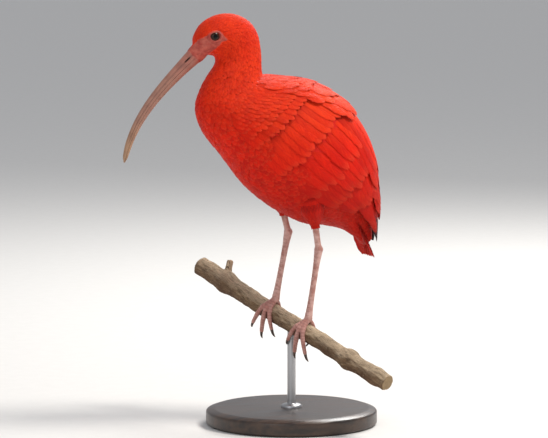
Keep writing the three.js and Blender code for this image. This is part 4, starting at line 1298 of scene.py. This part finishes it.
class IBIS_OT_plumage(IbisOperator, bpy.types.Operator):
    """Small feathers of the head, neck, breast, back, belly, rump and thighs"""

    bl_idname = "ibis.plumage"
    bl_label = "Body feathers"

    # first and last station of each coat piece, with its feathers' rows and columns of points
    REGIONS = {
        "face": (0, 2.6, 5, 5),
        "nape": (2.6, 6.2, 5, 5),
        "neck": (6.2, 10.5, 6, 5),
        "breast": (10.5, 13.6, 7, 7),
        "back_and_belly": (13.6, 16.6, 7, 7),
        "rump": (16.6, 21.7, 7, 7),
    }
    # spacing as a share of the setting, length and width in mm, and lift of the tip, along the stations
    STATIONS = [0, 2, 3.5, 6, 8.5, 11, 13.5, 22]
    SIZES = [
        [0.34, 0.37, 0.42, 0.5, 0.62, 0.82, 1, 1],
        [3.8, 5.4, 6.6, 8.2, 11, 16, 20, 21],
        [2.4, 2.8, 3.2, 3.9, 5.2, 7.6, 9.6, 10],
        [0.3, 0.5, 0.7, 0.9, 1.1, 1.3, 1.4, 1.4],
    ]
    LID_CLEARANCE = 7.0

    def build(self, settings):
        finish = feather_finish(settings)
        coats = {name: Coat(settings.seed + k) for k, name in enumerate(self.REGIONS)}
        random = np.random.default_rng(settings.seed)
        roots = scattered(trunk, 0.03, 21.6, lambda s: settings.spacing * self.size(s, 0), random, 0.85)
        roots[:, 1] = (roots[:, 1] + 180) % 360 - 180
        roots = roots[self.uncovered(roots[:, 0], roots[:, 1])]
        bare = bareness(trunk.point(roots[:, 0], roots[:, 1]))
        roots = roots[bare < 0.55 + 0.4 * random.random(len(roots))]
        for name, (first, last, rows, columns) in self.REGIONS.items():
            here = roots[(roots[:, 0] >= first) & (roots[:, 0] < last)]
            self.lay(coats[name], here, rows, columns, settings.skin_depth)
            coats[name].piece("feathers_" + name, "plumage", finish)
        self.thighs(settings, finish)

    def size(self, s, which):
        """One of the rows of SIZES, at a station."""
        return np.interp(s, self.STATIONS, self.SIZES[which])

    def uncovered(self, s, angle):
        """True where a root isn't hidden deep under a folded wing."""
        top, low = wing_edges(np.clip(s - NECK_ROOT, 0, 20))
        along = (s > NECK_ROOT + 2.0) & (s < NECK_ROOT + 7)
        beneath = along & (np.abs(angle) > top + 16) & (np.abs(angle) < low - 14)
        beneath |= (s > NECK_ROOT + 2.7) & (s < NECK_ROOT + 7.6) & (np.abs(angle) < 50)
        return ~beneath

    def off_the_lids(self, places):
        """True where a place on the trunk is clear of both eyes."""
        points = trunk.point(places[:, 0], places[:, 1])
        return from_eye(points) > self.LID_CLEARANCE

    def lay(self, coat, roots, rows, columns, depth):
        random = coat.random
        s, angle = roots[:, 0], roots[:, 1]
        varied = 0.86 + 0.28 * random.random(len(s))
        end = roots.copy()
        end[:, 0] = trunk.advance(s, angle, self.size(s, 1) * varied)
        drift = 0.2 * self.size(s, 2) * trunk.degrees(s, angle)
        end[:, 1] += (random.random(len(s)) - 0.5) * 2 * drift
        kept = self.off_the_lids(mix(roots, end, 0.5)) & self.off_the_lids(end)
        roots, end, varied, s = roots[kept], end[kept], varied[kept], s[kept]
        tip = self.size(s, 3) * (0.85 + 0.4 * random.random(len(s)))
        sunk = skin_level(s, depth) - 0.3 - 0.5 * self.size(s, 0)
        lift = np.stack([sunk, skin_level(end[:, 0], depth) + tip], -1)
        camber, roll = 0.3 * self.size(s, 0) + 0.15, 0.25 * (random.random(len(s)) - 0.5)
        coat.lay(trunk, roots, end, self.size(s, 2) * varied, lift, rows=rows, columns=columns,
                 camber=camber, thick=0.2, ragged=0.13, roll=roll)

    def thighs(self, settings, finish):
        coat = Coat(settings.seed + SEED_STEPS["thighs"])
        random = coat.random
        for leg in LEGS.values():
            cone = ThighCone(leg)
            for row, s_row in enumerate(np.arange(0.5, 3.85, 0.2)):
                share = s_row / 4
                around = int(mix(30, 15, share))
                angles = (np.arange(around) + 0.5 * (row % 2) + 0.3 * random.random(around)) * 360 / around
                root = np.stack([np.full(around, s_row), angles], -1)
                drift = (random.random(around) - 0.5) * 14
                tips = root + np.stack([np.full(around, mix(1.6, 0.9, share)), drift], -1)
                tips[:, 0] = np.minimum(tips[:, 0], 4.3 + 0.12 * random.random(around))
                wide = mix(7.5, 2.8, share) * (0.9 + 0.2 * random.random(around))
                sunk = mix(-3.2, -0.5, ramp(s_row, 0.5, 2.2))
                coat.lay(cone, root, tips, wide, (sunk - 1.6, sunk + 0.2), rows=6, columns=5,
                         camber=0.3, thick=0.2, ragged=0.2)
        coat.piece("feathers_thighs", "plumage", finish)


class IBIS_OT_wings(IbisOperator, bpy.types.Operator):
    """Folded wings: coverts in tiers, scapulars, secondaries, tertials and dark-tipped primaries"""

    bl_idname = "ibis.wings"
    bl_label = "Wings"

    # first and last root as station and angle, count, length, width, turn, lift at root and tip
    ROWS = [
        ((0.7, 64), (0.8, 104), 9, 13, 8.5, 3, (-3.4, -0.7)),
        ((0.95, 60), (1.05, 110), 11, 15, 9, 2, (-3.3, -0.2)),
        ((1.2, 57), (1.3, 114), 12, 17, 9.5, 2, (-3.1, 0.1)),
        ((1.45, 54), (1.55, 117), 13, 19, 10, 2, (-3.0, 0.35)),
        ((1.7, 52), (1.8, 119), 13, 21, 10.5, 2, (-2.9, 0.5)),
        ((1.95, 51), (2.05, 120), 13, 24, 11, 1, (-2.9, 0.65)),
        ((2.25, 50), (2.35, 122), 13, 29, 12, 1, (-2.9, 0.75)),
        ((2.95, 48), (3.05, 123), 12, 49, 14, 0, (-3.2, 0.65)),
        ((4.2, 52), (4.2, 121), 8, 60, 15, -4, (-3.7, 0.1)),
        ((4.6, 50), (4.5, 120), 12, 77, 14.5, -8, (-3.6, 0.45)),
        ((5.9, 47), (5.6, 108), 11, 66, 14.5, -7, (-4.2, -0.3)),
    ]
    SCAPULARS = [
        ((0.8, 26), (0.9, 52), 5, 22, 12, -2, (-2.2, 0.9)),
        ((1.3, 20), (1.35, 51), 6, 28, 13, -2, (-2.1, 1.3)),
        ((1.9, 15), (1.9, 49), 6, 36, 14, -2, (-2.0, 1.6)),
        ((2.5, 11), (2.45, 46), 6, 46, 15.5, -1, (-2.0, 1.8)),
        ((3.1, 8), (3.05, 42), 7, 58, 16, -1, (-2.2, 1.9)),
    ]
    TERTIALS = [
        ((7.7, 5), (7.5, 44), 7, 40, 11.5, 1, (-4.4, -0.5)),
        ((6.6, 5), (6.4, 50), 9, 60, 14, 1, (-4.0, 0.1)),
        ((5.3, 6), (5.2, 46), 7, 76, 16.5, 1, (-3.4, 0.6)),
        ((4.2, 7), (4.3, 44), 6, 102, 19, 2, (-2.9, 1.15)),
    ]
    PRIMARY_COUNT = 9
    LONG = 45  # mm from which a feather takes a flight feather's shape

    def build(self, settings):
        finish = bpy.data.materials["scarlet_feather"]
        for name, side in (("left", -1), ("right", 1)):
            coat = Coat(settings.seed + SEED_STEPS["wings"] + side)
            self.primaries(coat, side)
            for row in reversed(self.ROWS):
                self.row(coat, side, 0.1, *row)
            for row in self.TERTIALS + self.SCAPULARS[::-1]:
                self.row(coat, side, 0.28, *row)
            coat.piece("feathers_wing_" + name, "plumage", finish, "wing_" + name)

    def row(self, coat, side, loose, first, last, count, length, width, turn, lift):
        """One row of a table, on one wing. Loose is how far its feathers stray from an even row."""
        random = coat.random
        share = np.linspace(0, 1, count)
        s = mix(first[0], last[0], share) + loose * (random.random(count) - 0.5)
        angle = mix(first[1], last[1], share) + 1.2 * (random.random(count) - 0.5)
        start = np.stack([s, side * angle], -1)
        reach = length * (1 + loose * (random.random(count) - 0.5))
        end = np.stack([folded.advance(s, side * angle, reach), side * (angle + turn)], -1)
        lifts = np.stack([np.full(count, lift[0]), lift[1] + 0.35 * random.random(count)], -1)
        wide = width * (0.94 + 0.12 * random.random(count))
        bend = side * (random.random(count) - 0.5) * 1.5
        rows, outline, ragged = (9, CONTOUR, 0.05) if length < self.LONG else (14, FLIGHT, 0.025)
        coat.lay(folded, start, end, wide, lifts, rows=rows, columns=9, outline=outline,
                 roll=side * 0.55, camber=0.5, thick=0.32, ragged=ragged, bend=bend)

    def primaries(self, coat, side):
        share = np.linspace(0, 1, self.PRIMARY_COUNT)
        start = np.stack([np.full(len(share), 6.6), side * (84 + 16 * (0.5 - share))], -1)
        end = np.stack([mix(9.3, 10.93, share**0.8), side * mix(76, 41, share)], -1)
        lifts = np.stack([np.full(len(share), -3.6), -0.6 - 0.5 * share], -1)
        coat.lay(folded, start, end, 13.5, lifts, rows=18, columns=9, outline=PRIMARY,
                 roll=side * 0.4, camber=0.3, thick=0.35, ragged=0.02, ink=ramp(share, 0.1, 0.45))


class IBIS_OT_tail(IbisOperator, bpy.types.Operator):
    """Twelve tail feathers in a closed fan, with coverts above and below"""

    bl_idname = "ibis.tail"
    bl_label = "Tail"

    HALF = 5.5  # of the row of feathers, counted in feathers
    LENGTH, WIDTH, SPREAD, STEP = 58, 13.0, 7.5, 1.25
    COVERT_ROOTS, COVERTS = (-9, -3, 3, 9, 15, 21), 8
    COVERT_LENGTH, COVERT_WIDTH, COVERT_STEP = 20.0, 9.0, 3.2

    def build(self, settings):
        coat = Coat(settings.seed + SEED_STEPS["tail"])
        above, under = TailFan(0), TailFan(1)
        k = np.arange(-self.HALF, self.HALF + 1)
        angle = np.radians(self.SPREAD * k / self.HALF)
        length = self.LENGTH - 0.3 * np.abs(k) ** 1.5
        start = np.stack([np.zeros(len(k)), k * self.STEP], -1)
        end = np.stack([length * np.cos(angle), k * self.STEP + length * np.sin(angle)], -1)
        stack = 2.2 - 0.55 * np.abs(k)
        coat.lay(above, start, end, self.WIDTH, np.stack([stack, stack], -1), rows=14, columns=9,
                 outline=FLIGHT, roll=-0.22 * np.sign(k), camber=0.3, thick=0.35, ragged=0.03)
        for fan, face, height in ((above, 1, 3.0), (under, -1, -3.6)):
            for row, root in enumerate(self.COVERT_ROOTS):
                v = (np.arange(self.COVERTS) - (self.COVERTS - 1) / 2) * self.COVERT_STEP
                v = v + 1.6 * (row % 2) - 0.8  # each row's feathers cover the gaps of the last
                start = np.stack([np.full(self.COVERTS, root), v], -1)
                end = np.stack([np.full(self.COVERTS, root + self.COVERT_LENGTH), v * 1.12], -1)
                rise = height + face * (0.4 - 0.02 * v * v)
                lifts = np.stack([rise - face * 1.0, rise - face * 0.2 * row], -1)
                coat.lay(fan, start, end, self.COVERT_WIDTH, lifts, rows=8, columns=7,
                         camber=0.4 * face, thick=0.22, ragged=0.1)
        coat.piece("feathers_tail", "plumage", bpy.data.materials["scarlet_feather"], "tail")


class IBIS_OT_legs(IbisOperator, bpy.types.Operator):
    """Bare scaly legs and feet that grip the branch, with horn claws"""

    bl_idname = "ibis.legs"
    bl_label = "Legs"

    SHIN_RADII = (3.7, 3.5, 3.4, 3.6, 4.6)
    SHANK_RADII = (4.7, 3.6, 3.2, 3.1, 3.2, 3.5, 4.4)
    TOE_PADS = (1.15, 1.08, 0.98, 1.1, 0.92, 1.0, 0.85, 0.78)  # along a toe, as shares of its radius
    CLAW_RADII = (1.75, 1.5, 1.1, 0.3)
    ANKLE_RADIUS, FOOT_RADIUS = 4.8, 4.5
    PLATE, TOE_PLATE = 4.2, 3.1  # length of a scute on the shank and on a toe

    def build(self, settings):
        skin, horn = leg_finish(settings), claw_finish(settings)
        for name, leg in LEGS.items():
            end, ankle, joint = (np.array(leg[k], float) for k in ("thigh_end", "ankle", "foot"))
            bodies = [
                limb([mix(end, ankle, -0.35), mix(end, ankle, 0.6), ankle], self.SHIN_RADII, 20, 40),
                limb([ankle, mix(ankle, joint, 0.5), joint], self.SHANK_RADII, 20, 60),
                ball(ankle, self.ANKLE_RADIUS),
                ball(joint, self.FOOT_RADIUS),
            ]
            lines = {key: toe_line(leg, toe) for key, toe in TOES.items()}
            for key, toe in TOES.items():
                bodies.append(limb(lines[key], [toe["radius"] * pad for pad in self.TOE_PADS], 18, 60))
            mesh = fused("leg_" + name, bodies, 0.7, 3)
            points, normals = points_of(mesh), normals_of(mesh)
            shift, crease, toes = self.scutes(points, normals, ankle, joint, lines)
            set_points(mesh, points + normals * shift[:, None])
            # painted shade in the sunken gaps between scutes and toe rings
            mark(mesh, "crease", crease)
            mark(mesh, "toes", toes)
            add_piece("leg_" + name, mesh, "bare_skin", "tibia_" + name, "tarsus_" + name, "foot_" + name)
            mesh.materials.append(skin)
            for key, toe in TOES.items():
                self.claw(name, key, toe, lines[key], horn)

    def scutes(self, points, normals, ankle, joint, lines):
        """Plates down the shank's front and rings round the toes: each point's shift, painted crease shade and
        toe.
        """
        down = joint - ankle
        share = (points - ankle) @ down / (down @ down)
        length = share * np.linalg.norm(down)
        front = ramp(-normals[:, 0], 0.1, 0.5) * ramp(share, 0.02, 0.1) * (1 - ramp(share, 0.93, 1.02))
        plate = (length / self.PLATE) % 1
        gap = bell(plate, 0.96, 0.1) + bell(plate, -0.04, 0.1)
        # painted shade where the gaps between plates sink
        crease = front * gap
        shift = front * (0.22 * plate - 0.24 * gap)
        toes = ramp(share, 0.97, 1.06)
        for line in lines.values():
            smooth = SmoothLine(line)
            samples = smooth.at(np.linspace(0, smooth.last, 90))
            run = np.concatenate([[0], np.cumsum(np.linalg.norm(np.diff(samples, axis=0), axis=1))])
            distance = np.linalg.norm(points[:, None, :] - samples[None], axis=-1)
            nearest = distance.argmin(1)
            close = (distance.min(1) < 3.6) & (run[nearest] > 4)
            ring = (run[nearest] / self.TOE_PLATE) % 1
            dip = bell(ring, 0.95, 0.13) + bell(ring, -0.05, 0.13)
            crease = np.where(close, np.maximum(crease, dip * 0.8), crease)
            shift = np.where(close, 0.16 * ring - 0.22 * dip, shift)
        return shift, np.clip(crease, 0, 1), toes

    def claw(self, name, key, toe, line, horn):
        tip, run = line[-1], unit(line[-1] - line[-2])
        hook = -toe["direction"] * BRANCH_FORWARD
        start = tip - 0.6 * run
        centres = [start, start + 5 * run + 0.6 * hook, start + 9 * run + 2.6 * hook]
        mesh = mesh_from(f"claw_{name}_{key}", *oriented(*limb(centres, self.CLAW_RADII, 14, 20)))
        add_piece(f"nail_{name}_{key}", mesh, "claw", f"claw_{name}_{key}")
        mesh.materials.append(horn)


class IBIS_OT_perch(IbisOperator, bpy.types.Operator):
    """The cut branch, with knots, a stub, furrowed bark and ringed ends"""

    bl_idname = "ibis.perch"
    bl_label = "Perch"

    TWIG_LENGTH = 25
    TWIG_RADII = (5.4, 4.4, 3.6)

    def build(self, settings):
        q = np.linspace(-BRANCH_LENGTH / 2, BRANCH_LENGTH / 2, 200)
        stem = tube(branch_line(q), branch_radius(q), 40)
        root = branch_line(KNOTS[0][0])
        away = 0.75 * BRANCH_UP - 0.5 * BRANCH_FORWARD - 0.55 * BRANCH_RUN
        reach = self.TWIG_LENGTH * away
        twig = limb([root, root + reach / 2, root + reach], self.TWIG_RADII, 20, 20)
        mesh = fused("perch", [stem, twig], 1.0, 2)
        points, normals = points_of(mesh), normals_of(mesh)
        along = (points - BRANCH_MIDDLE) @ BRANCH_RUN
        out = points - branch_line(along)
        up, forward = out @ BRANCH_UP, out @ BRANCH_FORWARD
        turn = np.arctan2(forward, up)
        radius = np.hypot(up, forward)
        cut = ramp(np.abs(normals @ BRANCH_RUN), 0.75, 0.95) * (np.abs(along) > BRANCH_LENGTH / 2 - 3)
        on_twig = ramp(radius, 16, 18)
        wrapped = np.stack([along * 0.28, 7 * np.cos(turn), 7 * np.sin(turn)], -1)
        furrows = grain(wrapped, 4.2, 4)
        cracks = np.clip(-furrows - 0.3, 0, 1)
        shift = (0.8 * furrows + 0.6 * grain(points, 16, 2) - 0.35 * cracks) * (1 - cut)
        set_points(mesh, points + normals * shift[:, None])
        mark(mesh, "along", along)
        mark(mesh, "round", np.abs(turn) * 2)
        twig_cut = ramp(radius, 26, 27) * ramp(normals @ unit(away), 0.8, 0.95)
        mark(mesh, "cut", np.clip(cut + twig_cut, 0, 1))
        mark(mesh, "ring", radius * (1 - on_twig) / 3)
        add_piece("branch", mesh, "bark", "perch")
        mesh.materials.append(bark_finish(settings))


class IBIS_OT_stand(IbisOperator, bpy.types.Operator):
    """Turned wooden base and steel rod"""

    bl_idname = "ibis.stand"
    bl_label = "Stand"

    RADIUS, HEIGHT, ROD = 92.0, 18.0, 4.5
    HUB = 0.01  # radius at which a turned shape ends at its axis

    def build(self, settings):
        radius, height, rod, hub = self.RADIUS, self.HEIGHT, self.ROD, self.HUB
        shape = [(hub, 0), (radius - 3, 0), (radius - 2.2, 0.2), (radius, 2.5), (radius, 11)]
        shape += [(radius - 2.5 + 2.5 * math.cos(a), 13 + 3 * math.sin(a)) for a in np.linspace(0, 1.2, 6)]
        shape += [(radius - 8, height - 0.1), (radius - 9, height), (hub, height)]
        self.turned("base", shape, 160, "dark_wood", "stand_base", base_finish(settings))
        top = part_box("stand_rod")[1][2] / MM
        shape = [(hub, height), (11, height), (11, 20), (10.6, 20.6), (9.5, 21.4), (5, 22)]
        shape += [(rod, 22.6), (rod, top), (hub, top)]
        self.turned("rod", shape, 48, "steel", "stand_rod", rod_finish())

    def turned(self, name, shape, sides, slot, node, finish):
        """A turned piece through radii and heights, with both ends closed."""
        angle = np.arange(sides) * 2 * math.pi / sides
        rings = [np.stack([r * np.cos(angle), r * np.sin(angle), 0 * angle + z], -1) for r, z in shape]
        last = (len(shape) - 1) * sides
        caps = [list(range(sides))[::-1], list(range(last, last + sides))]
        mesh = bpy.data.meshes.new(name)
        mesh.from_pydata((np.vstack(rings) * MM).tolist(), [], ring_faces(len(shape), sides).tolist() + caps)
        add_piece(name, mesh, slot, node, smooth_angle=35)
        mesh.materials.append(finish)


class IBIS_PT_panel(bpy.types.Panel):
    bl_idname = "IBIS_PT_panel"
    bl_label = "Scarlet ibis"
    bl_space_type = "VIEW_3D"
    bl_region_type = "UI"
    bl_category = "Ibis"

    def draw(self, context):
        for operator in OPERATORS:
            self.layout.operator(operator.bl_idname)
        for name in IbisSettings.__annotations__:
            self.layout.prop(context.scene.ibis, name)


OPERATORS = (
    IBIS_OT_stage,
    IBIS_OT_skin,
    IBIS_OT_eyes,
    IBIS_OT_bill,
    IBIS_OT_plumage,
    IBIS_OT_wings,
    IBIS_OT_tail,
    IBIS_OT_legs,
    IBIS_OT_perch,
    IBIS_OT_stand,
)
CLASSES = (IbisSettings, *OPERATORS, IBIS_PT_panel)


def register():
    for cls in CLASSES:
        bpy.utils.register_class(cls)
    bpy.types.Scene.ibis = PointerProperty(type=IbisSettings)


def unregister():
    del bpy.types.Scene.ibis
    for cls in reversed(CLASSES):
        bpy.utils.unregister_class(cls)


def main():
    register()
    bpy.ops.ibis.stage()
    bpy.ops.ibis.skin()
    bpy.ops.ibis.eyes()
    bpy.ops.ibis.bill()
    bpy.ops.ibis.plumage()
    bpy.ops.ibis.wings()
    bpy.ops.ibis.tail()
    bpy.ops.ibis.legs()
    bpy.ops.ibis.perch()
    bpy.ops.ibis.stand()


if __name__ == "__main__":
    main()
